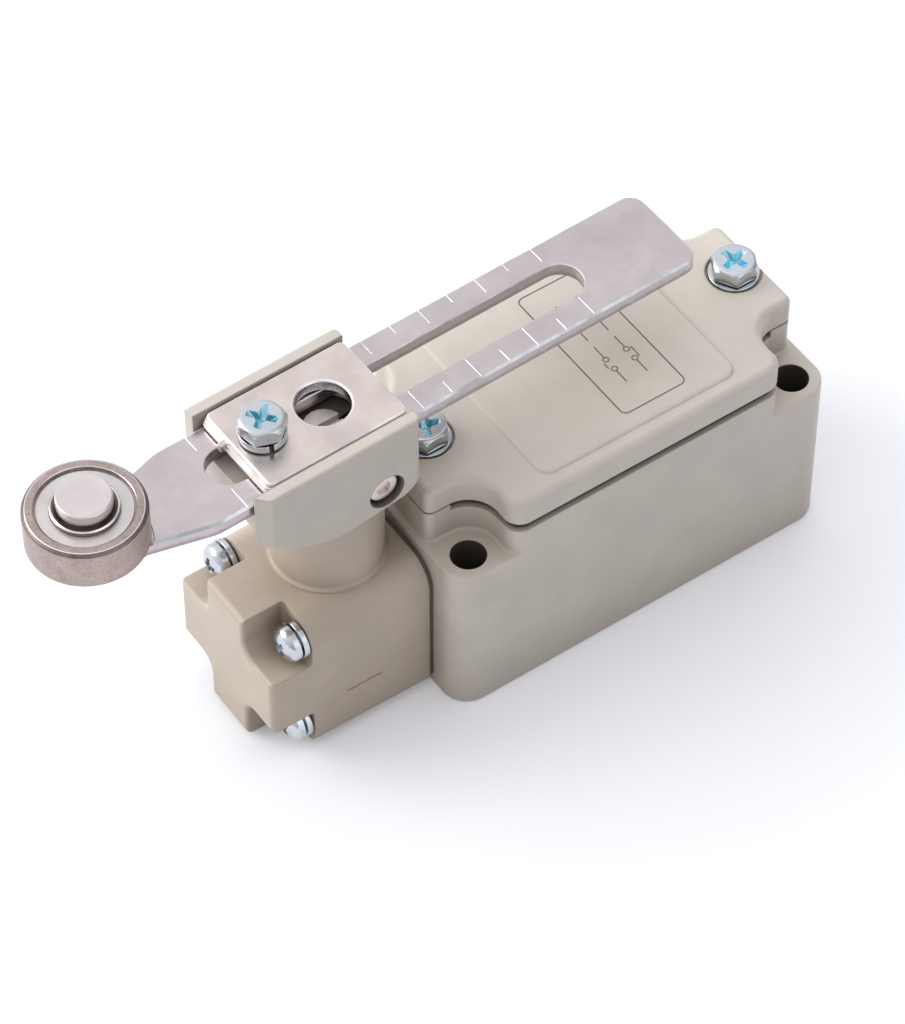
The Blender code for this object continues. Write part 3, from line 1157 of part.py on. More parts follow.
def make_arm(nickel, arm_axis):
    loops = [[(u, v, ARM_BOTTOM) for u, v in arm_outline()],
             [(u, v, ARM_TOP - ARM_EDGE_CHAMFER) for u, v in arm_outline()],
             [(u, v, ARM_TOP) for u, v in arm_outline(ARM_EDGE_CHAMFER)]]
    arm = loft("lever_arm", loops, nickel, arm_axis)
    low = ARM_BOTTOM - CUT_MARGIN
    high = ARM_TOP + CUT_MARGIN
    cut(arm,
        prism("arm_slot", slot_outline(), low, high, parent=arm_axis),
        bore("roller_seat", ROLLER_SEAT_RADIUS, (-ROLLER_OFFSET, 0.0, ARM_TOP - ROLLER_SEAT_DEPTH),
             (-ROLLER_OFFSET, 0.0, high), ROUND_LARGE, arm_axis),
        bore("pin_hole", PIN_RADIUS + SEAT_GAP, (-ROLLER_OFFSET, 0.0, low), (-ROLLER_OFFSET, 0.0, high),
             ROUND_MEDIUM, arm_axis))
    return arm


def make_plate(nickel, zinc, hub_axis):
    radius = PLATE_CORNER_RADIUS

    def outline(inset):
        return rounded_rectangle((-PLATE_ROLLER_END + inset, -PLATE_HALF_WIDTH + inset),
                                 (PLATE_TAIL_END - inset, PLATE_HALF_WIDTH - inset), (radius - inset,) * 4)

    loops = [[(u, v, PLATE_BOTTOM) for u, v in outline(0.0)]]
    for inset, drop in rounding_steps(PLATE_EDGE_RADIUS, PLATE_EDGE_STEPS):
        loops.append([(u, v, PLATE_TOP - drop) for u, v in outline(inset)])
    plate = loft("clamp_plate", loops, nickel, hub_axis)
    half_nib = PLATE_NIB_WIDTH / 2
    nib_low = (-PLATE_ROLLER_END - PLATE_NIB, PLATE_NIB_OFFSET - half_nib, PLATE_BOTTOM)
    nib_high = (-PLATE_ROLLER_END + radius, PLATE_NIB_OFFSET + half_nib, PLATE_TOP - PLATE_NIB_DROP)
    add(plate, block("plate_nib", nib_low, nib_high, parent=hub_axis))
    low = PLATE_BOTTOM - CUT_MARGIN
    high = PLATE_TOP + CUT_MARGIN
    cut(plate,
        bore("plate_window", PLATE_WINDOW_RADIUS, (0.0, 0.0, low), (0.0, 0.0, high), ROUND_LARGE, hub_axis),
        bore("plate_hole", SCREW_HOLE_RADIUS, (-CLAMP_SCREW_OFFSET, 0.0, low),
             (-CLAMP_SCREW_OFFSET, 0.0, high), ROUND_SMALL, hub_axis))

    washer_z = PLATE_TOP + SEAT_GAP
    screw_z = washer_z + WASHER_THICKNESS + SEAT_GAP
    washer = split_washer("clamp_washer", zinc, SCREW_HOLE_RADIUS, WASHER_RADIUS, WASHER_THICKNESS, hub_axis)
    place(washer, (-CLAMP_SCREW_OFFSET, 0.0, washer_z), spin=CLAMP_WASHER_ANGLE)
    length = screw_z - HUB_FLOOR + CLAMP_SCREW_REACH
    screw = hex_screw("clamp_screw", zinc, length, CLAMP_CROSS_ANGLE, hub_axis)
    place(screw, (-CLAMP_SCREW_OFFSET, 0.0, screw_z), spin=CLAMP_HEX_ANGLE)


def make_roller(roller_steel, bronze, steel, arm_axis):
    spin = pivot("roller_axis", (-ROLLER_OFFSET, 0.0, 0.0), arm_axis)
    inner = ROLLER_BUSH_RADIUS + SEAT_GAP
    rim = ROLLER_RADIUS - ROLLER_RIM
    chamfer = ROLLER_CHAMFER
    dish_low = ROLLER_BOTTOM + ROLLER_DISH
    dish_high = ROLLER_TOP - ROLLER_DISH
    profile = [(inner, dish_low), (rim, dish_low), (rim, ROLLER_BOTTOM),
               (ROLLER_RADIUS - chamfer, ROLLER_BOTTOM), (ROLLER_RADIUS, ROLLER_BOTTOM + chamfer),
               (ROLLER_RADIUS, ROLLER_TOP - chamfer),
               (ROLLER_RADIUS - chamfer, ROLLER_TOP), (rim, ROLLER_TOP), (rim, dish_high), (inner, dish_high)]
    turned("roller", profile, ROUND_LARGE, roller_steel, hollow=True, parent=spin)

    ring("roller_bush", bronze, PIN_RADIUS + RUNNING_GAP, ROLLER_BUSH_RADIUS, ROLLER_BOTTOM,
         ROLLER_HEIGHT + ROLLER_BUSH_PROUD, spin)
    washer = ring("roller_washer", steel, PIN_RADIUS + SEAT_GAP, ROLLER_WASHER_RADIUS,
                  ROLLER_WASHER_BOTTOM, ROLLER_WASHER_THICKNESS, arm_axis)
    washer.location = (-ROLLER_OFFSET, 0.0, 0.0)

    rivet_top = ARM_BOTTOM - SEAT_GAP
    head_top = PIN_HEAD_BOTTOM + PIN_HEAD_HEIGHT
    pin = turned("roller_pin",
                 [(RIVET_END_RADIUS, rivet_top - RIVET_HEIGHT), (RIVET_RADIUS, rivet_top - RIVET_HEIGHT / 2),
                  (RIVET_RADIUS, rivet_top), (PIN_RADIUS, rivet_top), (PIN_RADIUS, PIN_HEAD_BOTTOM),
                  (PIN_HEAD_RADIUS, PIN_HEAD_BOTTOM), (PIN_HEAD_RADIUS, head_top - PIN_HEAD_EDGE),
                  (PIN_HEAD_RADIUS - PIN_HEAD_EDGE, head_top)], ROUND_MEDIUM, steel, parent=arm_axis)
    pin.location = (-ROLLER_OFFSET, 0.0, 0.0)


# ---------------------------------------------------------------- assembly


def build():
    clear_scene()
    look = make_materials()
    make_case(look["paint"])
    make_gasket(look["seal"])
    make_cover(look["paint"])
    make_cover_screws(look["zinc"])
    make_head(look["paint"])
    make_head_gasket(look["seal"])
    make_head_screws(look["zinc"])
    make_bearings(look["bronze"], look["seal"])
    make_plunger(look["resin"], look["spring_steel"], look["seal"])
    make_switch_block(look["resin"], look["button"], look["brass"], look["silver"], look["spring_steel"],
                      look["zinc"])
    make_ground_screw(look["zinc"])

    shaft_axis = pivot("shaft_axis", (SHAFT_X, 0.0, 0.0))
    make_shaft(look["steel"], shaft_axis)
    make_cam(look["steel"], shaft_axis)
    make_clip(look["spring_steel"], shaft_axis)
    make_return_spring(look["spring_steel"], shaft_axis)

    hub_axis = pivot("hub_axis", (0.0, 0.0, 0.0), shaft_axis, LEVER_ANGLE)
    make_hub(look["hub_paint"], look["steel"], hub_axis)
    make_plate(look["nickel"], look["zinc"], hub_axis)
    arm_axis = pivot("arm_axis", (0.0, 0.0, 0.0), hub_axis)
    make_arm(look["nickel"], arm_axis)
    make_roller(look["roller_steel"], look["bronze"], look["nickel"], arm_axis)
    bpy.context.view_layer.update()


build()
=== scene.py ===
"""Looks of the rotary limit switch: fine meshes, finishes, floor, light and camera.

Shapes are written in millimetres and turned into metres when a mesh is made.  Lever pieces are written
in the lever's own frame: u runs along the arm away from the roller, v across it, from the shaft's axis.
"""
import math

import bmesh
import bpy
from mathutils import Matrix, Vector


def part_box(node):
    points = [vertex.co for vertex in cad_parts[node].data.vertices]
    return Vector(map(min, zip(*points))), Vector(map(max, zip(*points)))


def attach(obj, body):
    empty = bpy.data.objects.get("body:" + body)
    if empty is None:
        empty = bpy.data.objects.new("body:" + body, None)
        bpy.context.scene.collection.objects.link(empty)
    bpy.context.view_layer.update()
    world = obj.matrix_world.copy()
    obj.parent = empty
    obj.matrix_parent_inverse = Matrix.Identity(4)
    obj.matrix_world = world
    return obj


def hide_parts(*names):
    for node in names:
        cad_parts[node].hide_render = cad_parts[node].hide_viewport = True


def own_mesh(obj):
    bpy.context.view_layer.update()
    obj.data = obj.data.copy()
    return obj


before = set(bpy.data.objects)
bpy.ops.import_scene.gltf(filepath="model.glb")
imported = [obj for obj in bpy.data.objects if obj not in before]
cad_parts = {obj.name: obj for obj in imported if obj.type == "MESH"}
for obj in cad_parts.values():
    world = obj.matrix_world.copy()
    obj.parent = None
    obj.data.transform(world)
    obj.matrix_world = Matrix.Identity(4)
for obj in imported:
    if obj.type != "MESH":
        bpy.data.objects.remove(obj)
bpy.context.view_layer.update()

MM = 0.001
MARGIN = 1.0                     # how far a cutter runs past the face it opens
FINE = 96                        # facets of a large turned piece
ROUND = 64
SMALL = 40
CORNER = 10                      # steps of a quarter circle
EDGE = 4                         # steps of a rounded edge
SHARP = math.radians(32)
TILTED = (0.15, 0.97)            # upward part of a chamfer's normal


# ---------------------------------------------------------------- places from the frame


def box_mm(node):
    low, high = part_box(node)
    return low / MM, high / MM


def centre_mm(node):
    low, high = box_mm(node)
    return (low + high) / 2


case_high = box_mm("case_body")[1]
cover_low, cover_high = box_mm("cover")
gasket_low, gasket_high = box_mm("cover_gasket")
head_low, head_high = box_mm("head_housing")
shaft_low = box_mm("rotary_shaft")[0]
hub_low, hub_high = box_mm("lever_hub")
arm_low, arm_high = box_mm("lever_arm")
plate_low, plate_high = box_mm("clamp_plate")
clamp_low, clamp_high = box_mm("clamp_screw")
roller_low, roller_high = box_mm("roller")
pin_low, pin_high = box_mm("roller_pin")
shaft_centre = centre_mm("rotary_shaft")
roller_centre = centre_mm("roller_pin")
to_roller = roller_centre - shaft_centre

LEVER_ANGLE = math.atan2(-to_roller.y, -to_roller.x)
ROLLER_U = -math.hypot(to_roller.x, to_roller.y)
lever_place = Matrix.Translation((shaft_centre.x * MM, shaft_centre.y * MM, 0)) @ Matrix.Rotation(
    LEVER_ANGLE, 4, "Z")

# ---------------------------------------------------------------- sizes

# Case, cover and gasket
HALF_X = case_high.x
HALF_Y = case_high.y
CASE_CORNER = 4.4
SHOULDER = 29.4
SHOULDER_EDGE = 0.45
FOOT_EDGE = 0.35
RIM_FILLET = 0.5
RIM_TOP = 34.2
PAD_TOP = case_high.z
PAD_X = gasket_high.x + 0.3
MOUNT_X = HALF_X - 4.65
MOUNT_Y = HALF_Y - 4.4
MOUNT_RADIUS = 2.65
MOUNT_EDGE = 0.1
TAB_X = HALF_X - 0.95
TAB_RADIUS = 1.4
NOTCH_RADIUS = 5.0
SIDE_RADIUS = 2.8
CAVITY_X = 21.3
CAVITY_Y = 16.4
CAVITY_RADIUS = 3.0
CAVITY_FLOOR = 3.0
GASKET_INSET = 0.55
GASKET_EDGE = 0.2
GASKET_SWELL = 0.15
COVER_EDGE = 1.2
COVER_FOOT = 0.15
COVER_TOP = cover_low.z + 4.6
COVER_SKIN = 2.0
PANEL_HALF_X = 17.5
PANEL_HALF_Y = 16.3
PANEL_RADIUS = 2.2
PANEL_SLOPE = 1.0
PANEL_STEEP = 0.25               # share of that slope at the conduit's end
SPOT_RADIUS = 4.26
SPOT_DEPTH = 0.8
SPOT_EDGE = 0.2
WORKING_Z = centre_mm("plunger").z
CONDUIT_RADIUS = 10.45
CONDUIT_CHAMFER = 0.8
THREAD_PITCH = 1.81
THREAD_DEPTH = 1.0
HOLE_EDGE = 0.15
THIN_EDGE = 0.1                  # at the mouth of a screw or pin hole
GAP = 0.3                        # round a screw or a journal in its hole
SMALL_HOLE = 1.8
PLUNGER_HOLE = 2.8
SPRING_POCKET = 5.0
GROUND_POST = 3.2
GROUND_POST_HEIGHT = 5.0

# Screws
HEX_FLATS = 6.4
HEX_HEIGHT = 2.4
HEX_TOP = 2.7                    # radius of the flat top
HEX_CROWN = 1.3
SCREW_RADIUS = 2.0
SCREW_HOLE = 2.3
CROSS_SPAN = 2.25
CROSS_BLADE = 1.15
CROSS_DEPTH = 1.3
CROSS_TAPER = 0.45               # share of the span at its floor
PAN_RADIUS = 2.85
PAN_HEIGHT = 2.3
PAN_SHANK = 1.5
PAN_FLANK = 0.33                 # share of its height below the dome
PAN_DOME = 1.25                  # angle of the dome, in radians
PAN_CROSS = (1.45, 0.8, 1.25)    # span, blade and depth
PAN_CROSS_TURN = math.radians(20)
COVER_CROSS_TURNS = ((1, math.radians(-22)), (2, math.radians(15)))
HEAD_SCREW_TURN = 0.7            # from one screw to the next, in radians
HEAD_WASHER_TURN = 1.1
WASHER_SLIT = 0.6
WASHER_EDGE = 0.12

# Head
HEAD_HALF_Y = 12.35
HEAD_DRAFT = 0.3
HEAD_TOP_RADIUS = 4.8
HEAD_BOTTOM_RADIUS = 2.5
HEAD_END_EDGE = 1.1
HEAD_FACE_EDGE = 0.15
HEAD_NOTCH_DEPTH = 7.2
HEAD_NOTCH_Y = 4.7
HEAD_NOTCH_Z = 5.65
HEAD_NOTCH_FILLET = 3.0
HEAD_NOTCH_EDGE = 0.7
HEAD_SEAT_FILLET = 0.6
HEAD_NOTCH_REACH = 30.0          # past the outside of the head
PIVOT_HOLE = 2.55
HEAD_TOP = 27.7
BOSS_RADIUS = 8.4
BOSS_EDGE = 0.5
BOSS_FILLET = 0.6
HEAD_CAVITY = 8.6
HEAD_CAVITY_LENGTH = 19.2
BUSH_RADIUS = 6.0
SPINDLE_RADIUS = 3.0
JOURNAL_RADIUS = 4.0

# Hub
HUB_V = 10.6
HUB_WALL = 2.1
HUB_BOTTOM = hub_low.z
HUB_TOP = hub_high.z
HUB_FLOOR = HUB_TOP - 4.8
HUB_END = -16.2
HUB_LUG = 1.4
HUB_TAIL = 9.4
HUB_TAIL_CORNER = 1.2
HUB_TAIL_RADIUS = 4.0
HUB_TAIL_STEP = 1.0
HUB_BELLY_U = -3.0
HUB_BELLY_RADIUS = 15.0
HUB_BELLY_SWEEP = 33.0
HUB_EDGE = 0.55
HUB_SLIT = 1.2
HUB_FILLET = 0.4
HUB_LIP = 0.12
HUB_COUNTERSINK = 5.6
COUNTERSINK_BOTTOM = 1.4         # both below the hub's floor
COUNTERSINK_TOP = 0.5
CLAMP_BOLT_U = 3.3
CLAMP_BOLT_Z = HUB_BOTTOM + 4.5
CLAMP_BOLT_HEAD = 2.45
CLAMP_BOLT_HOLE = 2.75
CLAMP_BOLT_RECESS = 0.8
CLAMP_BOLT_SEAT_EDGE = 0.25
CLAMP_BOLT_HEX = 2.2
CLAMP_BOLT_DEPTH = 0.5
CLAMP_BOLT_LENGTH = 2.5          # of its head
CLAMP_BOLT_SHANK = 1.25
CLAMP_BOLT_EDGE = 0.35

# Arm, plate and roller
ARM_V = 7.95
ARM_TAIL = 61.0
ARM_CORNER = 2.6
ARM_CHAMFER = 0.28
ARM_FOOT = 0.15
NECK_START = 23.3
NECK_END = 33.0
NECK_BEND = 6.0
NOSE_RADIUS = 5.25
SLOT_V = 3.5
SLOT_START = -19.4
SLOT_END = 45.05
SLOT_EDGE = 0.2
SEAT_RADIUS = 9.0
SEAT_DEPTH = 0.4
PLATE_V = 8.1
PLATE_START = -15.2
PLATE_END = 9.0
PLATE_CORNER = 1.0
PLATE_EDGE = 0.45
PLATE_STEP = 0.28                # sheared steps at its roller end
PLATE_STEP_HEIGHT = 0.5
PLATE_WINDOW = 4.0
WINDOW_EDGE = 0.4
CLAMP_SCREW_U = -10.2
CLAMP_WASHER = 3.5
CLAMP_WASHER_TURN = math.radians(-103)
CLAMP_HEX_TURN = math.radians(-21)
CLAMP_CROSS_TURN = math.radians(59)
NIB_LENGTH = 0.6
NIB_WIDTH = 0.9
NIB_V = 2.6
NIB_DROP = 0.6
ROLLER_RADIUS = 8.75
ROLLER_CHAMFER = 0.55
ROLLER_RIM = 1.65
ROLLER_DISH = 0.5
GROOVE_WIDTH = 0.4
GROOVE_DEPTH = 0.95
ROLLER_BUSH = 4.9
BUSH_FIT = 0.04
BUSH_LIP = 0.3
BUSH_SINK = 0.7
BUSH_EDGE = 0.15
PIN_RADIUS = 2.6
PIN_HEAD = 4.0
PIN_EDGE = 0.3
PIN_HEAD_HEIGHT = 1.8
RIVET_RADIUS = 4.0
RIVET_END = 2.8

# Springs
PLUNGER_WIRE = 0.5
CONTACT_WIRE = 0.4
WIRE_FACETS = 12

# Scale on the arm
TICK_PITCH = 5.006
TICK_FIRST = 41.86
TICK_COUNT = 13
TICK_WIDTH = 0.2                 # at its mouth
TICK_DEPTH = 0.08
FAR_TICKS = (3.2, 1.9)           # long and short, from the arm's edge
NEAR_TICKS = (4.2, 2.8)

# Print on the cover
BORDER_LOW = (-1.2, -13.5)
BORDER_HIGH = (10.1, 13.4)
BORDER_CORNER = 1.0
BORDER_LINE = 0.22
CONTACT_ROWS = (-6.0, 3.6)
CONTACT_COLUMNS = (2.9, 6.6)
CONTACT_LINE = 0.2
CONTACT_DOT = 0.45
DOT_LINE = 0.18
PRINT_LIFT = 0.02

# ---------------------------------------------------------------- outlines


def arc(centre, radius, start, end, steps=CORNER):
    """Points from angle start to angle end, in degrees, both included."""
    turns = [math.radians(start + (end - start) * i / steps) for i in range(steps + 1)]
    return [(centre[0] + radius * math.cos(a), centre[1] + radius * math.sin(a)) for a in turns]


def circle(radius, steps, centre=(0.0, 0.0)):
    return arc(centre, radius, 0, 360 - 360 / steps, steps - 1)


def rounded_rectangle(low, high, radii):
    """Radii go round from the (high, high) corner, anticlockwise."""
    corners = ((high[0], high[1], -1, -1, 0), (low[0], high[1], 1, -1, 90),
               (low[0], low[1], 1, 1, 180), (high[0], low[1], -1, 1, 270))
    points = []
    for (x, y, sign_x, sign_y, start), radius in zip(corners, radii):
        points += arc((x + sign_x * radius, y + sign_y * radius), radius, start, start + 90)
    return points


def centred_rectangle(half_x, half_y, radius):
    return rounded_rectangle((-half_x, -half_y), (half_x, half_y), (radius,) * 4)


def offset(points, distance):
    """An anticlockwise outline moved outward, or inward where distance is negative."""
    moved = []
    for i, point in enumerate(points):
        before, after = Vector(points[i - 1]), Vector(points[(i + 1) % len(points)])
        here = Vector(point)
        first, second = (here - before).normalized(), (after - here).normalized()
        normal = Vector((first.y + second.y, -first.x - second.x)).normalized()
        stretch = 1.0 / max(0.5, normal.dot(Vector((first.y, -first.x))))
        moved.append(tuple(here + normal * distance * stretch))
    return moved


def rim_outline(inset=0.0):
    """Outline of the rim, the gasket and the cover, notched round the mounting holes."""
    notch = NOTCH_RADIUS + inset
    tab_x, tab_y = TAB_X - inset, MOUNT_Y - notch
    side_x, side_y = MOUNT_X - notch, HALF_Y - inset
    tab_radius = max(TAB_RADIUS - inset, 0.05)
    side_radius = SIDE_RADIUS - inset
    quarter = arc((tab_x - tab_radius, tab_y - tab_radius), tab_radius, 0, 90)
    quarter += arc((MOUNT_X, MOUNT_Y), notch, 270, 180, 2 * CORNER)
    quarter += arc((side_x - side_radius, side_y - side_radius), side_radius, 0, 90)
    half = quarter + [(-x, y) for x, y in reversed(quarter)]
    return half + [(-x, -y) for x, y in half]


def edge_steps(radius, steps=EDGE):
    """(inset, drop) pairs that round an edge over, from its side to its flat."""
    turns = [math.pi / 2 * i / steps for i in range(steps + 1)]
    return [(radius * (1 - math.cos(a)), radius * (1 - math.sin(a))) for a in turns]


def eased(outline, low, high, low_edge, high_edge):
    """(outline, height) levels from low to high, with both edges rounded by a (radius, steps) pair."""
    levels = [(outline(inset), low + drop) for inset, drop in reversed(edge_steps(*low_edge))]
    return levels + [(outline(inset), high - drop) for inset, drop in edge_steps(*high_edge)]


def fillet_steps(radius, steps=EDGE):
    """(outset, rise) pairs of a concave fillet, from the flat up to the wall."""
    turns = [math.pi / 2 * i / steps for i in range(steps + 1)]
    return [(radius * (1 - math.sin(a)), radius * (1 - math.cos(a))) for a in turns]


# ---------------------------------------------------------------- solids


def make_object(name, builder):
    bmesh.ops.recalc_face_normals(builder, faces=builder.faces)
    bmesh.ops.scale(builder, vec=(MM,) * 3, verts=builder.verts)
    mesh = bpy.data.meshes.new(name)
    builder.to_mesh(mesh)
    builder.free()
    item = bpy.data.objects.new(name, mesh)
    bpy.context.scene.collection.objects.link(item)
    return item


def loft(name, loops):
    """A closed solid through loops of 3-D points, all with the same count."""
    builder = bmesh.new()
    rings = [[builder.verts.new(point) for point in loop] for loop in loops]
    count = len(rings[0])
    for lower, upper in zip(rings, rings[1:]):
        for i in range(count):
            j = (i + 1) % count
            builder.faces.new((lower[i], lower[j], upper[j], upper[i]))
    builder.faces.new(rings[0])
    builder.faces.new(rings[-1])
    return make_object(name, builder)


def stack(name, levels, axis="Z"):
    """A loft of (outline, height) levels along an axis: Z takes (x, y), X takes (y, z), Y takes (x, z)."""
    build = {"Z": lambda p, h: (p[0], p[1], h), "X": lambda p, h: (h, p[0], p[1]),
             "Y": lambda p, h: (p[0], h, p[1])}[axis]
    return loft(name, [[build(point, height) for point in outline] for outline, height in levels])


def prism(name, outline, low, high, axis="Z"):
    return stack(name, [(outline, low), (outline, high)], axis)


def block(name, low, high):
    outline = [(low[0], low[1]), (high[0], low[1]), (high[0], high[1]), (low[0], high[1])]
    return prism(name, outline, low[2], high[2])


def turned(name, profile, facets=ROUND, hollow=False):
    """(radius, height) points turned about Z.  A hollow profile is a closed loop."""
    builder = bmesh.new()
    rings = []
    for radius, height in profile:
        turns = [2 * math.pi * i / facets for i in range(facets)]
        rings.append([builder.verts.new((radius * math.cos(a), radius * math.sin(a), height)) for a in turns])
    pairs = list(zip(rings, rings[1:]))
    if hollow:
        pairs.append((rings[-1], rings[0]))
    for lower, upper in pairs:
        for i in range(facets):
            j = (i + 1) % facets
            builder.faces.new((lower[i], lower[j], upper[j], upper[i]))
    if not hollow:
        builder.faces.new(rings[0])
        builder.faces.new(rings[-1])
    return make_object(name, builder)


def put(item, location, axis="Z", spin=0.0):
    """Bake a place into a mesh: its Z axis along the named axis, spun about itself."""
    turns = {"Z": Matrix.Identity(4), "-Z": Matrix.Rotation(math.pi, 4, "X"),
             "X": Matrix.Rotation(math.pi / 2, 4, "Y"), "-X": Matrix.Rotation(-math.pi / 2, 4, "Y"),
             "Y": Matrix.Rotation(-math.pi / 2, 4, "X"), "-Y": Matrix.Rotation(math.pi / 2, 4, "X")}
    place = Matrix.Translation(Vector(location) * MM)
    item.data.transform(place @ turns[axis] @ Matrix.Rotation(spin, 4, "Z"))
    return item


def bore(name, radius, depth, mouth_edge=HOLE_EDGE, facets=SMALL, through=False):
    """A round cutter down from z = 0, with its mouth rounded outward."""
    low = -depth - (MARGIN if through else 0.0)
    profile = [(radius, low)]
    profile += [(radius + inset, -drop) for inset, drop in edge_steps(mouth_edge)]
    profile.append((radius + mouth_edge, MARGIN))
    return turned(name, profile, facets)


def rod(name, radius, low, high, location=(0, 0, 0), axis="Z", facets=SMALL):
    """A plain round bar from low to high along an axis through a location."""
    return put(turned(name, [(radius, low), (radius, high)], facets), location, axis)


def combine(target, operation, tools):
    """Apply solids to a target and remove them.  Cut faces keep the tool's material."""
    for tool in tools:
        modifier = target.modifiers.new("boolean", "BOOLEAN")
        modifier.operation = operation
        modifier.solver = "EXACT"
        modifier.material_mode = "TRANSFER"
        modifier.object = tool
    depsgraph = bpy.context.evaluated_depsgraph_get()
    mesh = bpy.data.meshes.new_from_object(target.evaluated_get(depsgraph))
    target.modifiers.clear()
    old = target.data
    target.data = mesh
    bpy.data.meshes.remove(old)
    for tool in tools:
        bpy.data.meshes.remove(tool.data)
    return target


def cut(target, *tools):
    return combine(target, "DIFFERENCE", tools)


def add(target, *tools):
    return combine(target, "UNION", tools)


def keep_inside(target, *tools):
    return combine(target, "INTERSECT", tools)


def dress(item, material):
    item.data.materials.clear()
    item.data.materials.append(material)
    return item


def show(item, name, material, body, slot, *nodes):
    """Finish a piece: its name, smooth faces, material, body and the CAD nodes that it stands for."""
    item.name = name
    item.data.name = name
    if not any(item.data.materials):
        dress(item, material)
    item.data.shade_smooth()
    item.data.set_sharp_from_angle(angle=SHARP)
    weighted = item.modifiers.new("normals", "WEIGHTED_NORMAL")
    weighted.keep_sharp = True
    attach(item, body)
    if nodes:
        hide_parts(*nodes)
    return item


def highlight_edges(item, material, above):
    """Give the tilted faces higher than a level, such as chamfers, a paler material: painted highlight."""
    item.data.materials.append(material)
    index = len(item.data.materials) - 1
    for polygon in item.data.polygons:
        if polygon.center.z > above * MM and TILTED[0] < polygon.normal.z < TILTED[1]:
            polygon.material_index = index
    return item


def on_lever(item):
    item.matrix_world = lever_place
    return item


# ---------------------------------------------------------------- materials


class Nodes:
    """Short ways to add nodes to a tree and to join them."""

    def __init__(self, tree):
        self.tree = tree

    def node(self, kind, inputs=None, **settings):
        made = self.tree.nodes.new(kind)
        for key, value in settings.items():
            setattr(made, key, value)
        for key, value in (inputs or {}).items():
            self.feed(made.inputs[key], value)
        return made

    def feed(self, socket, value):
        if isinstance(value, bpy.types.NodeSocket):
            self.tree.links.new(value, socket)
        else:
            socket.default_value = value

    def ramp(self, value, low, high, to_low=0.0, to_high=1.0):
        return self.node("ShaderNodeMapRange", {"Value": value, "From Min": low, "From Max": high,
                                                "To Min": to_low, "To Max": to_high}).outputs[0]


class Finish(Nodes):
    """A material.  Its colour is laid in coats: body holds the coats so far."""

    def __init__(self, name, roughness=0.4, metallic=0.0):
        self.material = bpy.data.materials.new(name)
        self.material.use_nodes = True
        super().__init__(self.material.node_tree)
        self.shader = self.tree.nodes["Principled BSDF"]
        self.shader.inputs["Roughness"].default_value = roughness
        self.shader.inputs["Metallic"].default_value = metallic
        self.place = self.node("ShaderNodeTexCoord").outputs["Object"]
        self.body = None

    def stretched(self, scale):
        """Coordinates stretched along the axes, for brushed lines."""
        return self.node("ShaderNodeMapping", {"Vector": self.place, "Scale": scale}).outputs[0]

    def noise(self, size, detail, vector=None):
        """Noise whose features are about the given size in millimetres."""
        made = self.node("ShaderNodeTexNoise", {"Vector": vector or self.place, "Scale": 1.0 / (size * MM),
                                                "Detail": detail, "Roughness": 0.55})
        return made.outputs["Fac"]

    def blotches(self, size, detail, *levels):
        """Noise ramped between levels."""
        return self.ramp(self.noise(size, detail), *levels)

    def math(self, operation, first, second=0.0):
        return self.node("ShaderNodeMath", {0: first, 1: second}, operation=operation).outputs[0]

    def mix(self, share, first, second):
        made = self.node("ShaderNodeMix", data_type="RGBA")
        self.feed(made.inputs["Factor"], share)
        self.feed(made.inputs[6], first)
        self.feed(made.inputs[7], second)
        return made.outputs[2]

    def over(self, mask, strength, color):
        """Lay a coat over the body where the mask is 1."""
        self.body = self.mix(self.math("MULTIPLY", mask, strength), self.body, color)

    def edges(self, radius, low, high):
        """1 along convex and concave edges, 0 on the flats.  Edges are shaded as rounded, too."""
        round_normal = self.node("ShaderNodeBevel", {"Radius": radius * MM}, samples=4).outputs[0]
        self.feed(self.shader.inputs["Normal"], round_normal)
        flat_normal = self.node("ShaderNodeNewGeometry").outputs["Normal"]
        product = self.node("ShaderNodeVectorMath", {0: round_normal, 1: flat_normal},
                            operation="DOT_PRODUCT")
        return self.ramp(product.outputs["Value"], low, high, 1.0, 0.0)

    def specks(self, size, spacing, share):
        """Sparse round spots: 1 inside a spot, 0 elsewhere."""
        cells = self.node("ShaderNodeTexVoronoi", {"Vector": self.place, "Scale": 1.0 / (spacing * MM)})
        near = self.ramp(cells.outputs["Distance"], size / spacing * 0.6, size / spacing, 1.0, 0.0)
        chosen = self.node("ShaderNodeSeparateColor", {0: cells.outputs["Color"]}).outputs[0]
        return self.math("MULTIPLY", near, self.ramp(chosen, share, share + 0.01, 1.0, 0.0))

    def within(self, low, high):
        """1 inside a box given by two corners in millimetres, with a wavering border."""
        waver = self.blotches(0.8, 2.0, 0.3, 0.7, -0.12 * MM, 0.12 * MM)
        parts = self.node("ShaderNodeSeparateXYZ", {0: self.place}).outputs
        inside = None
        for part, start, end in zip(parts, low, high):
            half = (end - start) / 2
            from_middle = self.math("ADD", self.math("SUBTRACT", part, (start + end) / 2 * MM), waver)
            share = self.ramp(self.math("ABSOLUTE", from_middle), half * MM, (half - 0.1) * MM)
            inside = share if inside is None else self.math("MULTIPLY", inside, share)
        return inside

    def bump(self, height, depth, strength=1.0):
        """Bump of the given depth in millimetres."""
        made = self.node("ShaderNodeBump", {"Height": height, "Distance": depth * MM, "Strength": strength})
        if self.shader.inputs["Normal"].is_linked:
            self.feed(made.inputs["Normal"], self.shader.inputs["Normal"].links[0].from_socket)
        self.feed(self.shader.inputs["Normal"], made.outputs[0])

    def color(self, value):
        self.feed(self.shader.inputs["Base Color"], value)

    def roughness(self, value):
        self.feed(self.shader.inputs["Roughness"], value)


def tone(red, green, blue):
    """A colour from its 0-255 screen values."""
    def linear(value):
        share = value / 255
        return share / 12.92 if share <= 0.04045 else ((share + 0.055) / 1.055) ** 2.4
    return (linear(red), linear(green), linear(blue), 1.0)


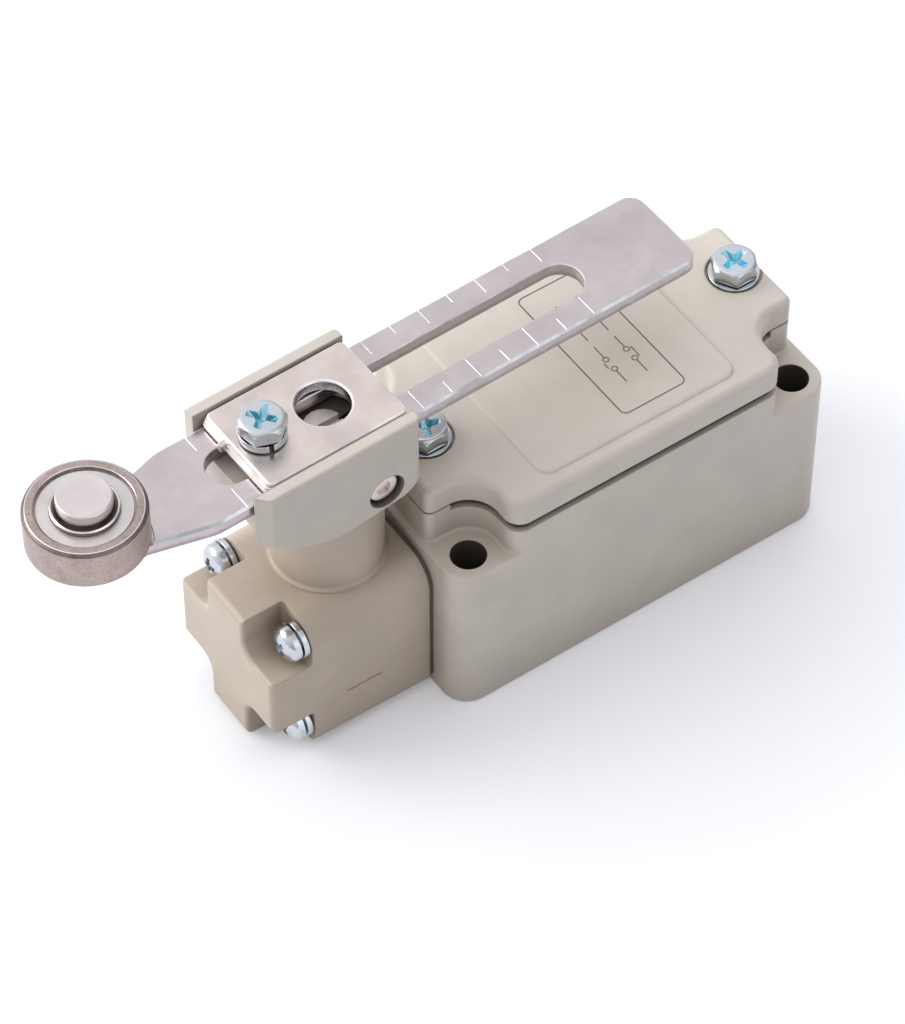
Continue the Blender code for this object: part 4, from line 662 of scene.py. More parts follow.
def shade(color, factor):
    return tuple(channel * factor for channel in color[:3]) + (1.0,)


def paint_finish(name, base, corner_shade_share=0.65, scratch=None):
    """Satin stoved paint: mottling, orange peel, paler edges from wear and painted highlight, a few specks
    and painted shade in corners.
    """
    made = Finish(name)
    mottle = made.blotches(9.0, 2.0, 0.35, 0.65)
    grain = made.blotches(0.35, 2.0, 0.3, 0.7)
    made.body = made.mix(mottle, shade(base, 0.955), shade(base, 1.03))
    made.over(grain, 0.22, shade(base, 0.90))
    # Paler edges and corners: partly worn paint, partly painted highlight.
    edge_wear_and_light = made.math("MULTIPLY", made.edges(0.35, 0.93, 0.999), made.blotches(1.6, 3.0, 0.35, 0.6))
    made.over(edge_wear_and_light, 0.45, shade(base, 1.22))
    made.over(made.specks(0.13, 5.5, 0.10), 0.75, tone(60, 52, 44))
    # Darker paint in corners and under overhangs, from ambient occlusion: painted shade.
    reach = made.node("ShaderNodeAmbientOcclusion", {"Distance": CORNER_SHADE_REACH * MM}, samples=6)
    hidden = made.ramp(reach.outputs["AO"], 0.15, 0.85, corner_shade_share, 0.0)
    corner_shade_color = tuple(channel * tint for channel, tint in zip(base, CORNER_SHADE_TINT))
    made.body = made.mix(hidden, made.body, corner_shade_color)
    if scratch:
        made.over(made.within(*scratch), 0.8, RUST)
    made.color(made.body)
    made.roughness(made.blotches(2.5, 3.0, 0.3, 0.7, 0.36, 0.46))
    made.bump(made.noise(1.1, 2.0), 0.012, 0.5)
    made.bump(made.noise(0.22, 2.0), 0.004, 0.4)
    return made.material


def metal_finish(name, base, roughness, smudge=0.06, lines=(1.0, 1.0, 1.0), line_size=0.3, metallic=1.0,
                 polish=0.0):
    """Plated or bare metal: cloudy tone, fine lines or grain, and sparse marks."""
    made = Finish(name, roughness, metallic)
    cloud = made.blotches(5.0, 4.0, 0.32, 0.68)
    grain = made.ramp(made.noise(line_size, 3.0, made.stretched(lines)), 0.3, 0.7)
    made.body = made.mix(cloud, shade(base, 1.0 - smudge), shade(base, 1.0 + smudge / 2))
    made.over(grain, 0.18 * (1.0 - polish), shade(base, 0.88))
    made.over(made.specks(0.16, 5.0, 0.10), 0.5, shade(base, 0.55))
    made.color(made.body)
    made.roughness(made.math("ADD", made.ramp(grain, 0.0, 1.0, 0.0, 0.10),
                             made.ramp(cloud, 0.0, 1.0, roughness - 0.05, roughness + 0.03)))
    made.bump(grain, 0.003, 0.35 * (1.0 - polish))
    return made.material


def arm_finish(name, base):
    """Nickel-plated strip: a cloudy top, painted shade on its upright sides and a torn, darker foot on its
    punched edges.
    """
    made = Finish(name, 0.3, 1.0)
    cloud = made.blotches(7.0, 4.0, 0.32, 0.68)
    grain = made.ramp(made.noise(0.3, 3.0, made.stretched((0.35, 1.0, 1.0))), 0.3, 0.7)
    made.body = made.mix(cloud, shade(base, 0.87), shade(base, 1.05))
    made.over(made.blotches(2.4, 4.0, 0.5, 0.75), 0.35, shade(base, 0.80))
    made.over(grain, 0.15, shade(base, 0.88))
    made.over(made.specks(0.2, 6.0, 0.12), 0.45, shade(base, 0.5))
    height = made.node("ShaderNodeSeparateXYZ", {0: made.place}).outputs["Z"]
    level = made.math("ADD", height, made.blotches(2.2, 3.0, 0.3, 0.7, -0.25 * MM, 0.25 * MM))
    normal = made.node("ShaderNodeNewGeometry").outputs["Normal"]
    upright = made.math("ABSOLUTE", made.node("ShaderNodeSeparateXYZ", {0: normal}).outputs["Z"])
    wall = made.ramp(upright, 0.2, 0.5, 1.0, 0.0)
    foot = made.ramp(level, (arm_low.z + 0.5) * MM, (arm_low.z + 1.1) * MM, 1.0, 0.0)
    torn = made.math("MULTIPLY", foot, wall)
    # Upright sides a little darker: painted shade.
    made.over(wall, 0.25, shade(base, 0.75))
    made.over(torn, 0.6, tone(150, 135, 132))
    made.color(made.body)
    made.roughness(made.math("ADD", made.math("MULTIPLY", torn, 0.2), made.ramp(grain, 0.0, 1.0, 0.26, 0.36)))
    made.bump(grain, 0.003, 0.3)
    made.bump(made.noise(6.0, 1.0), 0.02, 0.3)
    return made.material


def sintered_finish(name, base, spot):
    """Oil-soaked sintered steel: brown-grey with dark pores."""
    made = Finish(name, 0.45, 0.9)
    cloud = made.blotches(2.2, 5.0, 0.35, 0.65)
    pores = made.blotches(0.28, 4.0, 0.52, 0.7)
    made.body = made.mix(cloud, shade(base, 0.85), shade(base, 1.10))
    made.over(pores, 0.5, spot)
    made.color(made.body)
    made.roughness(made.ramp(cloud, 0.0, 1.0, 0.36, 0.5))
    made.bump(pores, -0.01, 0.5)
    return made.material


def plastic_finish(name, base, roughness):
    made = Finish(name, roughness)
    made.color(made.mix(made.blotches(2.5, 4.0, 0.3, 0.7), shade(base, 0.85), shade(base, 1.12)))
    made.roughness(made.blotches(0.6, 3.0, 0.3, 0.7, roughness - 0.06, roughness + 0.08))
    made.bump(made.noise(0.25, 2.0), 0.008, 0.5)
    return made.material


CORNER_SHADE_REACH = 20                 # how far a corner casts painted shade
CORNER_SHADE_TINT = (0.55, 0.50, 0.44, 1.0)
PAINT = paint_finish("paint", tone(209, 201, 188))
RUST = tone(134, 80, 54)
HEAD_SCRATCH = ((-49.4, -13.0, 9.35), (-43.1, -11.0, 9.85))
# The head wears the case's paint, darker and with deeper corner shade: painted shade.
HEAD_SHADED_PAINT = paint_finish("head_shaded_paint", tone(190, 177, 160), 0.8, HEAD_SCRATCH)
HEAD_SEAL = plastic_finish("head_seal", tone(88, 83, 76), 0.6)
HUB_PAINT = paint_finish("hub_paint", tone(201, 193, 181), 0.6)
NICKEL = metal_finish("nickel", tone(220, 208, 203), 0.3, smudge=0.13, lines=(0.3, 1.0, 1.0), polish=1.0)
ARM_NICKEL = arm_finish("arm_nickel", tone(205, 196, 197))
# Paler metals for the chamfers of the arm and the plate: painted highlight.
ARM_EDGE_HIGHLIGHT = metal_finish("arm_edge_highlight", tone(222, 225, 230), 0.35, smudge=0.45, metallic=0.45)
NICKEL_EDGE_HIGHLIGHT = metal_finish("nickel_edge_highlight", tone(240, 238, 237), 0.35, smudge=0.3, metallic=0.4)
SCRIBED = metal_finish("scribed_line", tone(244, 242, 242), 0.45, metallic=0.7)
# A pale metal for thin rings and the plate's window wall: painted highlight.
HIGHLIGHT_METAL = metal_finish("painted_highlight_edge", tone(240, 236, 238), 0.22)
ZINC = metal_finish("zinc", tone(205, 211, 216), 0.2, smudge=0.12)
# A darker zinc for the pan screws' cross recesses: painted shade.
ZINC_RECESS_SHADE = metal_finish("zinc_recess_shade", tone(150, 162, 170), 0.3, smudge=0.35)
ZINC_BLUE = metal_finish("blue_zinc", tone(178, 226, 240), 0.3, smudge=0.3)
STEEL = metal_finish("steel", tone(222, 216, 212), 0.36, smudge=0.3, lines=(1.0, 0.25, 1.0), line_size=0.5,
                     metallic=0.6)
# Dark metal for the hub's bore, countersink, slit and holes: partly bare zinc, partly painted shade.
SHADED_BARE_ZINC = metal_finish("shaded_bare_zinc", tone(92, 86, 82), 0.5, smudge=0.2)
PIN_STEEL = metal_finish("pin_steel", tone(222, 213, 212), 0.28, smudge=0.08, polish=1.0)
RACE = metal_finish("roller_race", tone(216, 211, 209), 0.34, smudge=0.12, metallic=0.8)
SINTERED = sintered_finish("sintered_steel", tone(180, 164, 158), tone(104, 88, 80))
# A darker copy of the roller's sintered steel for its chamfer band: partly wear, partly painted shade.
SINTERED_EDGE_SHADE = sintered_finish("sintered_edge_shade", tone(128, 114, 108), tone(80, 68, 62))
BRONZE = metal_finish("bronze", tone(138, 126, 118), 0.36, smudge=0.25)
BRASS = metal_finish("brass", tone(206, 176, 110), 0.3)
SILVER = metal_finish("silver", tone(224, 222, 216), 0.25)
SPRING_STEEL = metal_finish("spring_steel", tone(150, 150, 152), 0.3)
RUBBER = plastic_finish("seal_rubber", tone(44, 43, 42), 0.62)
RESIN = plastic_finish("resin", tone(42, 38, 36), 0.48)
BUTTON = plastic_finish("button", tone(170, 48, 40), 0.42)
PRINT = plastic_finish("print", tone(112, 106, 100), 0.55)
# Dark paint inside mounting holes and the hub's bolt seat: painted shade.
HOLE_SHADE = paint_finish("hole_shade_paint", tone(92, 86, 76))

# ---------------------------------------------------------------- case, cover and gasket


def make_case():
    def body(inset):
        return centred_rectangle(HALF_X - inset, HALF_Y - inset, CASE_CORNER - inset)

    def rim(outset):
        return [(x, max(-HALF_Y, min(HALF_Y, y))) for x, y in rim_outline(-outset)]

    case = stack("case", eased(body, 0.0, SHOULDER, (FOOT_EDGE, EDGE), (SHOULDER_EDGE, EDGE)))
    levels = [(rim(RIM_FILLET), SHOULDER - 2 * MARGIN)]
    levels += [(rim(outset), SHOULDER + rise) for outset, rise in fillet_steps(RIM_FILLET)]
    levels += [(rim(0.0), PAD_TOP)]
    add(case, stack("rim", levels))

    thread = [(CONDUIT_RADIUS + CONDUIT_CHAMFER, MARGIN), (CONDUIT_RADIUS + CONDUIT_CHAMFER, 0.0),
              (CONDUIT_RADIUS, -CONDUIT_CHAMFER)]
    crest = CONDUIT_RADIUS - THREAD_DEPTH
    depth = CONDUIT_CHAMFER
    while depth + THREAD_PITCH < HALF_X - CAVITY_X:
        thread += [(crest, -depth - THREAD_PITCH * 0.45), (crest, -depth - THREAD_PITCH * 0.55),
                   (CONDUIT_RADIUS, -depth - THREAD_PITCH)]
        depth += THREAD_PITCH
    thread += [(CONDUIT_RADIUS, CAVITY_X - HALF_X - MARGIN)]
    above = PAD_TOP + MARGIN
    cut(case,
        block("step", (-PAD_X, -2 * HALF_Y, RIM_TOP), (PAD_X, 2 * HALF_Y, above)),
        prism("cavity", centred_rectangle(CAVITY_X, CAVITY_Y, CAVITY_RADIUS), CAVITY_FLOOR, above))
    ground = centre_mm("ground_screw")
    ground_low = box_mm("ground_screw")[0].z
    ground_place = (ground.x, ground.y, 0)
    add(case, rod("post", GROUND_POST, CAVITY_FLOOR / 2, CAVITY_FLOOR + GROUND_POST_HEIGHT, ground_place))
    dress(case, PAINT)
    holes = []
    for sign_x in (-1, 1):
        for sign_y in (-1, 1):
            # The mounting holes get dark paint: painted shade.
            mount = bore("mount", MOUNT_RADIUS, SHOULDER, MOUNT_EDGE, through=True)
            holes.append(dress(put(mount, (sign_x * MOUNT_X, sign_y * MOUNT_Y, SHOULDER)), HOLE_SHADE))
    for i in (1, 2):
        x = centre_mm(f"cover_screw_{i}").x
        low = box_mm(f"cover_screw_{i}")[0].z - GAP
        holes.append(rod("screw_hole", SCREW_HOLE, low, above, (x, 0, 0)))
        low = box_mm(f"switch_screw_{i}")[0].z - GAP
        place = centre_mm(f"switch_screw_{i}")
        holes.append(rod("block_hole", SMALL_HOLE, low, CAVITY_FLOOR + MARGIN, (place.x, place.y, 0)))
    for i in range(1, 5):
        place = centre_mm(f"head_screw_{i}")
        end = box_mm(f"head_screw_{i}")[1].x + GAP
        holes.append(rod("head_hole", SMALL_HOLE, 0, end + HALF_X + MARGIN,
                         (-HALF_X - MARGIN, place.y, place.z), "X"))
    spring = box_mm("plunger_spring")[1].x + GAP
    seal_low, seal_high = box_mm("plunger_seal")
    seal_radius = (seal_high.y - seal_low.y) / 2 + GAP
    face = (-HALF_X - MARGIN, 0, WORKING_Z)
    cut(case,
        put(turned("conduit", thread, FINE), (HALF_X, 0, WORKING_Z), "X"),
        rod("plunger_hole", PLUNGER_HOLE, 0, HALF_X - CAVITY_X + 2 * MARGIN, face, "X"),
        rod("spring_pocket", SPRING_POCKET, 0, spring + HALF_X + MARGIN, face, "X"),
        rod("seal_pocket", seal_radius, 0, 2 * MARGIN + seal_high.x - seal_low.x,
            (seal_low.x - GAP, 0, WORKING_Z), "X"),
        rod("ground_hole", SMALL_HOLE, ground_low - GAP, CAVITY_FLOOR + GROUND_POST_HEIGHT + MARGIN,
            ground_place),
        *holes)
    return show(case, "case_shell", PAINT, "housing", "paint", "case_body")


def make_gasket():
    low, high = gasket_low.z, gasket_high.z
    below, above = low - MARGIN, high + MARGIN
    edge = (GASKET_EDGE, 2)
    gasket = stack("gasket", eased(lambda inset: rim_outline(GASKET_INSET + inset), low, high, edge, edge))
    keep_inside(gasket, block("ends", (gasket_low.x, -HALF_Y, below), (gasket_high.x, HALF_Y, above)))
    places = [(centre_mm(f"cover_screw_{i}").x, 0, 0) for i in (1, 2)]
    cut(gasket, prism("window", centred_rectangle(CAVITY_X, CAVITY_Y, CAVITY_RADIUS), below, above),
        *[rod("hole", SCREW_HOLE, below, above, place) for place in places])
    return show(gasket, "cover_seal", RUBBER, "housing", "seal", "cover_gasket")


def make_cover():
    low = cover_low.z
    cover = stack("cover_shell", eased(rim_outline, low, COVER_TOP, (COVER_FOOT, 2), (COVER_EDGE, 8)))

    def panel(inset):
        return rounded_rectangle((-PANEL_HALF_X + inset, -PANEL_HALF_Y + inset),
                                 (PANEL_HALF_X - inset * PANEL_STEEP, PANEL_HALF_Y - inset),
                                 (PANEL_RADIUS - inset,) * 4)

    rise = cover_high.z - COVER_TOP
    levels = [(panel(0.0), COVER_TOP - COVER_SKIN / 2)]
    levels += [(panel(inset * PANEL_SLOPE), cover_high.z - drop * rise) for inset, drop in edge_steps(1.0, 6)]
    add(cover, stack("panel", levels))
    pocket = centred_rectangle(CAVITY_X - 0.3, CAVITY_Y - 0.3, CAVITY_RADIUS)
    tools = [prism("pocket", pocket, low - MARGIN, COVER_TOP - COVER_SKIN)]
    for i in (1, 2):
        spot = centre_mm(f"cover_screw_{i}")
        tools.append(put(bore("spot", SPOT_RADIUS, SPOT_DEPTH, SPOT_EDGE, FINE), (spot.x, spot.y, COVER_TOP)))
        tools.append(put(bore("hole", SCREW_HOLE, COVER_TOP, THIN_EDGE),
                         (spot.x, spot.y, COVER_TOP - SPOT_DEPTH)))
    cut(cover, *tools)
    return show(cover, "cover_shell", PAINT, "housing", "paint", "cover")


def ribbon(builder, points, width, low, high, closed=False):
    """A thin closed strip along a line of points."""
    count = len(points)
    sides = []
    for i, point in enumerate(points):
        before = Vector(points[i - 1] if closed or i else points[i])
        after = Vector(points[(i + 1) % count] if closed or i < count - 1 else points[i])
        along = (after - before).normalized()
        across = Vector((-along.y, along.x)) * width / 2
        here = Vector(point)
        corners = ((here - across, low), (here + across, low), (here + across, high), (here - across, high))
        sides.append([builder.verts.new((spot.x, spot.y, height)) for spot, height in corners])
    links = list(zip(sides, sides[1:]))
    if closed:
        links.append((sides[-1], sides[0]))
    for first, second in links:
        for k in range(4):
            m = (k + 1) % 4
            builder.faces.new((first[k], first[m], second[m], second[k]))
    if not closed:
        builder.faces.new(sides[0])
        builder.faces.new(sides[-1])


def make_print():
    """Printed border and a plain contact diagram on the cover's panel, with no lettering."""
    builder = bmesh.new()
    low, high = cover_high.z - PRINT_LIFT, cover_high.z + PRINT_LIFT

    def line(*points):
        ribbon(builder, points, CONTACT_LINE, low, high)

    border = rounded_rectangle(BORDER_LOW, BORDER_HIGH, (BORDER_CORNER,) * 4)
    ribbon(builder, border, BORDER_LINE, low, high, closed=True)
    for y in CONTACT_ROWS:
        for x in CONTACT_COLUMNS:
            line((x, y - 2.6), (x, y))
            line((x, y + 3.0), (x, y + 5.6))
            for dot_y in (0.45, 2.55):
                ribbon(builder, circle(CONTACT_DOT, 20, (x, y + dot_y)), DOT_LINE, low, high, closed=True)
    for y in CONTACT_ROWS:
        line((2.2, y + 0.9), (2.2, y + 2.1))
        line((7.4, y + 0.4), (7.4, y + 2.6))
    print_lines = make_object("print", builder)
    return show(print_lines, "cover_print", PRINT, "housing", "paint")


# ---------------------------------------------------------------- screws and washers


def cross_cutters(top, material, span=CROSS_SPAN, blade=CROSS_BLADE, depth=CROSS_DEPTH, turn=0.0):
    """Two tapered blades and a cone, which cut a cross recess."""
    tools = []
    for i in range(2):
        levels = [(centred_rectangle(span * CROSS_TAPER, blade * 0.30, blade * 0.1), top - depth),
                  (centred_rectangle(span, blade / 2, blade * 0.2), top),
                  (centred_rectangle(span, blade / 2, blade * 0.2), top + MARGIN)]
        tools.append(put(stack("blade", levels), (0, 0, 0), spin=turn + i * math.pi / 2))
    cone = [(blade * 0.25, top - depth - 0.15), (blade * 0.95, top), (blade * 0.95, top + MARGIN)]
    tools.append(put(turned("cone", cone, SMALL), (0, 0, 0), spin=turn))
    return [dress(tool, material) for tool in tools]


def hex_screw(shank, cross_angle):
    """Hexagon head on z = 0 with its shank below."""
    flat = HEX_FLATS / 2
    corner = flat / math.cos(math.pi / 6)
    screw = dress(prism("hex", circle(corner, 6), 0.0, HEX_HEIGHT), ZINC)
    crown = [(corner + 0.2, -MARGIN), (corner + 0.2, HEX_HEIGHT - HEX_CROWN)]
    crown += [(HEX_TOP + (corner - HEX_TOP) * math.cos(a), HEX_HEIGHT - HEX_CROWN * (1 - math.sin(a)))
              for a in (math.pi / 2 * k / 10 for k in range(11))]
    keep_inside(screw, turned("crown", crown, FINE))
    add(screw, rod("shank", SCREW_RADIUS, -shank, HEX_HEIGHT / 2))
    return cut(screw, *cross_cutters(HEX_HEIGHT, ZINC_BLUE, turn=cross_angle))


def pan_screw(shank):
    """Domed head on z = 0 with its shank below."""
    flank = PAN_HEIGHT * PAN_FLANK
    dome = [(PAN_RADIUS * math.cos(a), flank + (PAN_HEIGHT - flank) * math.sin(a) / math.sin(PAN_DOME))
            for a in (PAN_DOME * i / 12 for i in range(13))]
    profile = [(PAN_SHANK, -shank), (PAN_SHANK, 0.0), (PAN_RADIUS - 0.1, 0.0), (PAN_RADIUS, 0.1)] + dome
    screw = dress(turned("pan", profile, ROUND), ZINC)
    # Darker zinc in the cross recess: painted shade.
    return cut(screw, *cross_cutters(PAN_HEIGHT, ZINC_RECESS_SHADE, *PAN_CROSS, PAN_CROSS_TURN))


def flat_washer(hole, outer, thickness):
    edge = (WASHER_EDGE, 3)
    rounded = eased(lambda inset: outer - inset, 0.0, thickness, edge, edge)
    return turned("washer", [(hole, 0.0)] + rounded + [(hole, thickness)], ROUND, hollow=True)


def split_washer(hole, outer, thickness):
    """A spring washer: a ring cut through at +X, with softened edges."""
    half_gap = math.degrees(WASHER_SLIT / (hole + outer))

    def outline(inset):
        turn = half_gap + math.degrees(inset / outer)
        return (arc((0, 0), outer - inset, turn, 360 - turn, ROUND)
                + arc((0, 0), hole + inset, 360 - turn, turn, ROUND))

    edge = (WASHER_EDGE, 3)
    return stack("washer", eased(outline, 0.0, thickness, edge, edge))


def make_cover_screws():
    for i, angle in COVER_CROSS_TURNS:
        low, high = box_mm(f"cover_screw_{i}")
        seat = high.z - HEX_HEIGHT
        centre = centre_mm(f"cover_screw_{i}")
        screw = put(hex_screw(seat - low.z, angle), (centre.x, centre.y, seat))
        show(screw, f"cover_hex_screw_{i}", ZINC, "housing", "zinc", f"cover_screw_{i}")
        low, high = box_mm(f"cover_washer_{i}")
        washer = flat_washer(SCREW_HOLE, (high.x - low.x) / 2, high.z - low.z)
        put(washer, (centre.x, centre.y, low.z))
        show(washer, f"cover_flat_washer_{i}", ZINC, "housing", "zinc", f"cover_washer_{i}")


def make_head_screws():
    for i in range(1, 5):
        low, high = box_mm(f"head_screw_{i}")
        seat = low.x + PAN_HEIGHT
        centre = centre_mm(f"head_screw_{i}")
        screw = put(pan_screw(high.x - seat), (seat, centre.y, centre.z), "-X", spin=i * HEAD_SCREW_TURN)
        show(screw, f"head_pan_screw_{i}", ZINC, "housing", "zinc", f"head_screw_{i}")
        low, high = box_mm(f"head_washer_{i}")
        washer = split_washer(PAN_SHANK + GAP, (high.y - low.y) / 2, high.x - low.x)
        put(washer, (high.x, centre.y, centre.z), "-X", spin=i * HEAD_WASHER_TURN)
        show(washer, f"head_spring_washer_{i}", ZINC, "housing", "zinc", f"head_washer_{i}")


# ---------------------------------------------------------------- operating head


def head_screw_holes(low, high, x, axis):
    """Holes for the four head screws, measured from a face at x."""
    places = [centre_mm(f"head_screw_{i}") for i in range(1, 5)]
    return [rod("screw_hole", SMALL_HOLE, low, high, (x, place.y, place.z), axis) for place in places]


def make_head():
    length = head_high.x - head_low.x
    end_x, face_x = head_low.x, head_high.x
    bottom = head_low.z

    def section(x, inset):
        shrink = HEAD_DRAFT * (face_x - x) / length + inset
        top, low = HEAD_TOP_RADIUS - inset, HEAD_BOTTOM_RADIUS - inset
        return rounded_rectangle((-HEAD_HALF_Y + shrink, bottom + shrink),
                                 (HEAD_HALF_Y - shrink, HEAD_TOP - shrink),
                                 (top, top, low, low))

    levels = [(section(end_x + drop, inset), end_x + drop)
              for inset, drop in reversed(edge_steps(HEAD_END_EDGE, 6))]
    levels += [(section(face_x - drop, inset), face_x - drop)
               for inset, drop in edge_steps(HEAD_FACE_EDGE, 2)]
    head = stack("head", levels, "X")

    def span(sign, middle, near):
        ends = (middle + sign * near, middle + sign * HEAD_NOTCH_REACH)
        return min(ends), max(ends)

    seat_x = end_x + HEAD_NOTCH_DEPTH
    tools = []
    for sign_y in (-1, 1):
        for sign_z in (-1, 1):
            def corner(outset):
                low_y, high_y = span(sign_y, 0.0, HEAD_NOTCH_Y - outset)
                low_z, high_z = span(sign_z, WORKING_Z, HEAD_NOTCH_Z - outset)
                return rounded_rectangle((low_y, low_z), (high_y, high_z), (HEAD_NOTCH_FILLET,) * 4)

            levels = [(corner(HEAD_NOTCH_EDGE), end_x - MARGIN)]
            levels += [(corner(inset), end_x + drop) for inset, drop in reversed(edge_steps(HEAD_NOTCH_EDGE))]
            levels += [(corner(-inset), seat_x - drop) for inset, drop in edge_steps(HEAD_SEAT_FILLET)]
            tools.append(stack("notch", levels, "X"))
    cut(head, *tools)

    profile = [(BOSS_RADIUS + BOSS_FILLET, WORKING_Z)]
    profile += [(BOSS_RADIUS + outset, HEAD_TOP + rise) for outset, rise in fillet_steps(BOSS_FILLET)]
    profile += [(BOSS_RADIUS - inset, head_high.z - drop) for inset, drop in edge_steps(BOSS_EDGE)]
    boss = put(turned("boss", profile, FINE), (shaft_centre.x, shaft_centre.y, 0))
    add(head, boss)

    bush_low = box_mm("shaft_bush")[0].z - GAP
    above = head_high.z + MARGIN
    axis = (shaft_centre.x, shaft_centre.y, 0)
    cut(head,
        rod("cavity", HEAD_CAVITY, -MARGIN, HEAD_CAVITY_LENGTH, (face_x, 0, WORKING_Z), "-X", ROUND),
        rod("shaft_bore", JOURNAL_RADIUS + GAP, WORKING_Z, above, axis, facets=ROUND),
        rod("bush_bore", BUSH_RADIUS + GAP, bush_low, above, axis, facets=ROUND),
        rod("pivot_bore", PIVOT_HOLE, shaft_low.z - GAP, WORKING_Z, axis),
        *head_screw_holes(-MARGIN, length, face_x, "-X"))
    return show(head, "head_shell", HEAD_SHADED_PAINT, "housing", "paint", "head_housing")


def make_head_gasket():
    low, high = box_mm("head_gasket")
    depth = high.x - low.x + MARGIN
    radii = (HEAD_TOP_RADIUS, HEAD_TOP_RADIUS, HEAD_BOTTOM_RADIUS, HEAD_BOTTOM_RADIUS)
    outline = rounded_rectangle((low.y, low.z), (high.y, high.z), radii)
    gasket = prism("gasket", outline, low.x - GASKET_SWELL, high.x + GASKET_SWELL, "X")
    cut(gasket, rod("window", HEAD_CAVITY, -MARGIN, depth, (low.x, 0, WORKING_Z), "X", ROUND),
        *head_screw_holes(-MARGIN, depth, low.x, "X"))
    return show(gasket, "head_seal", HEAD_SEAL, "housing", "seal", "head_gasket")


# ---------------------------------------------------------------- hub


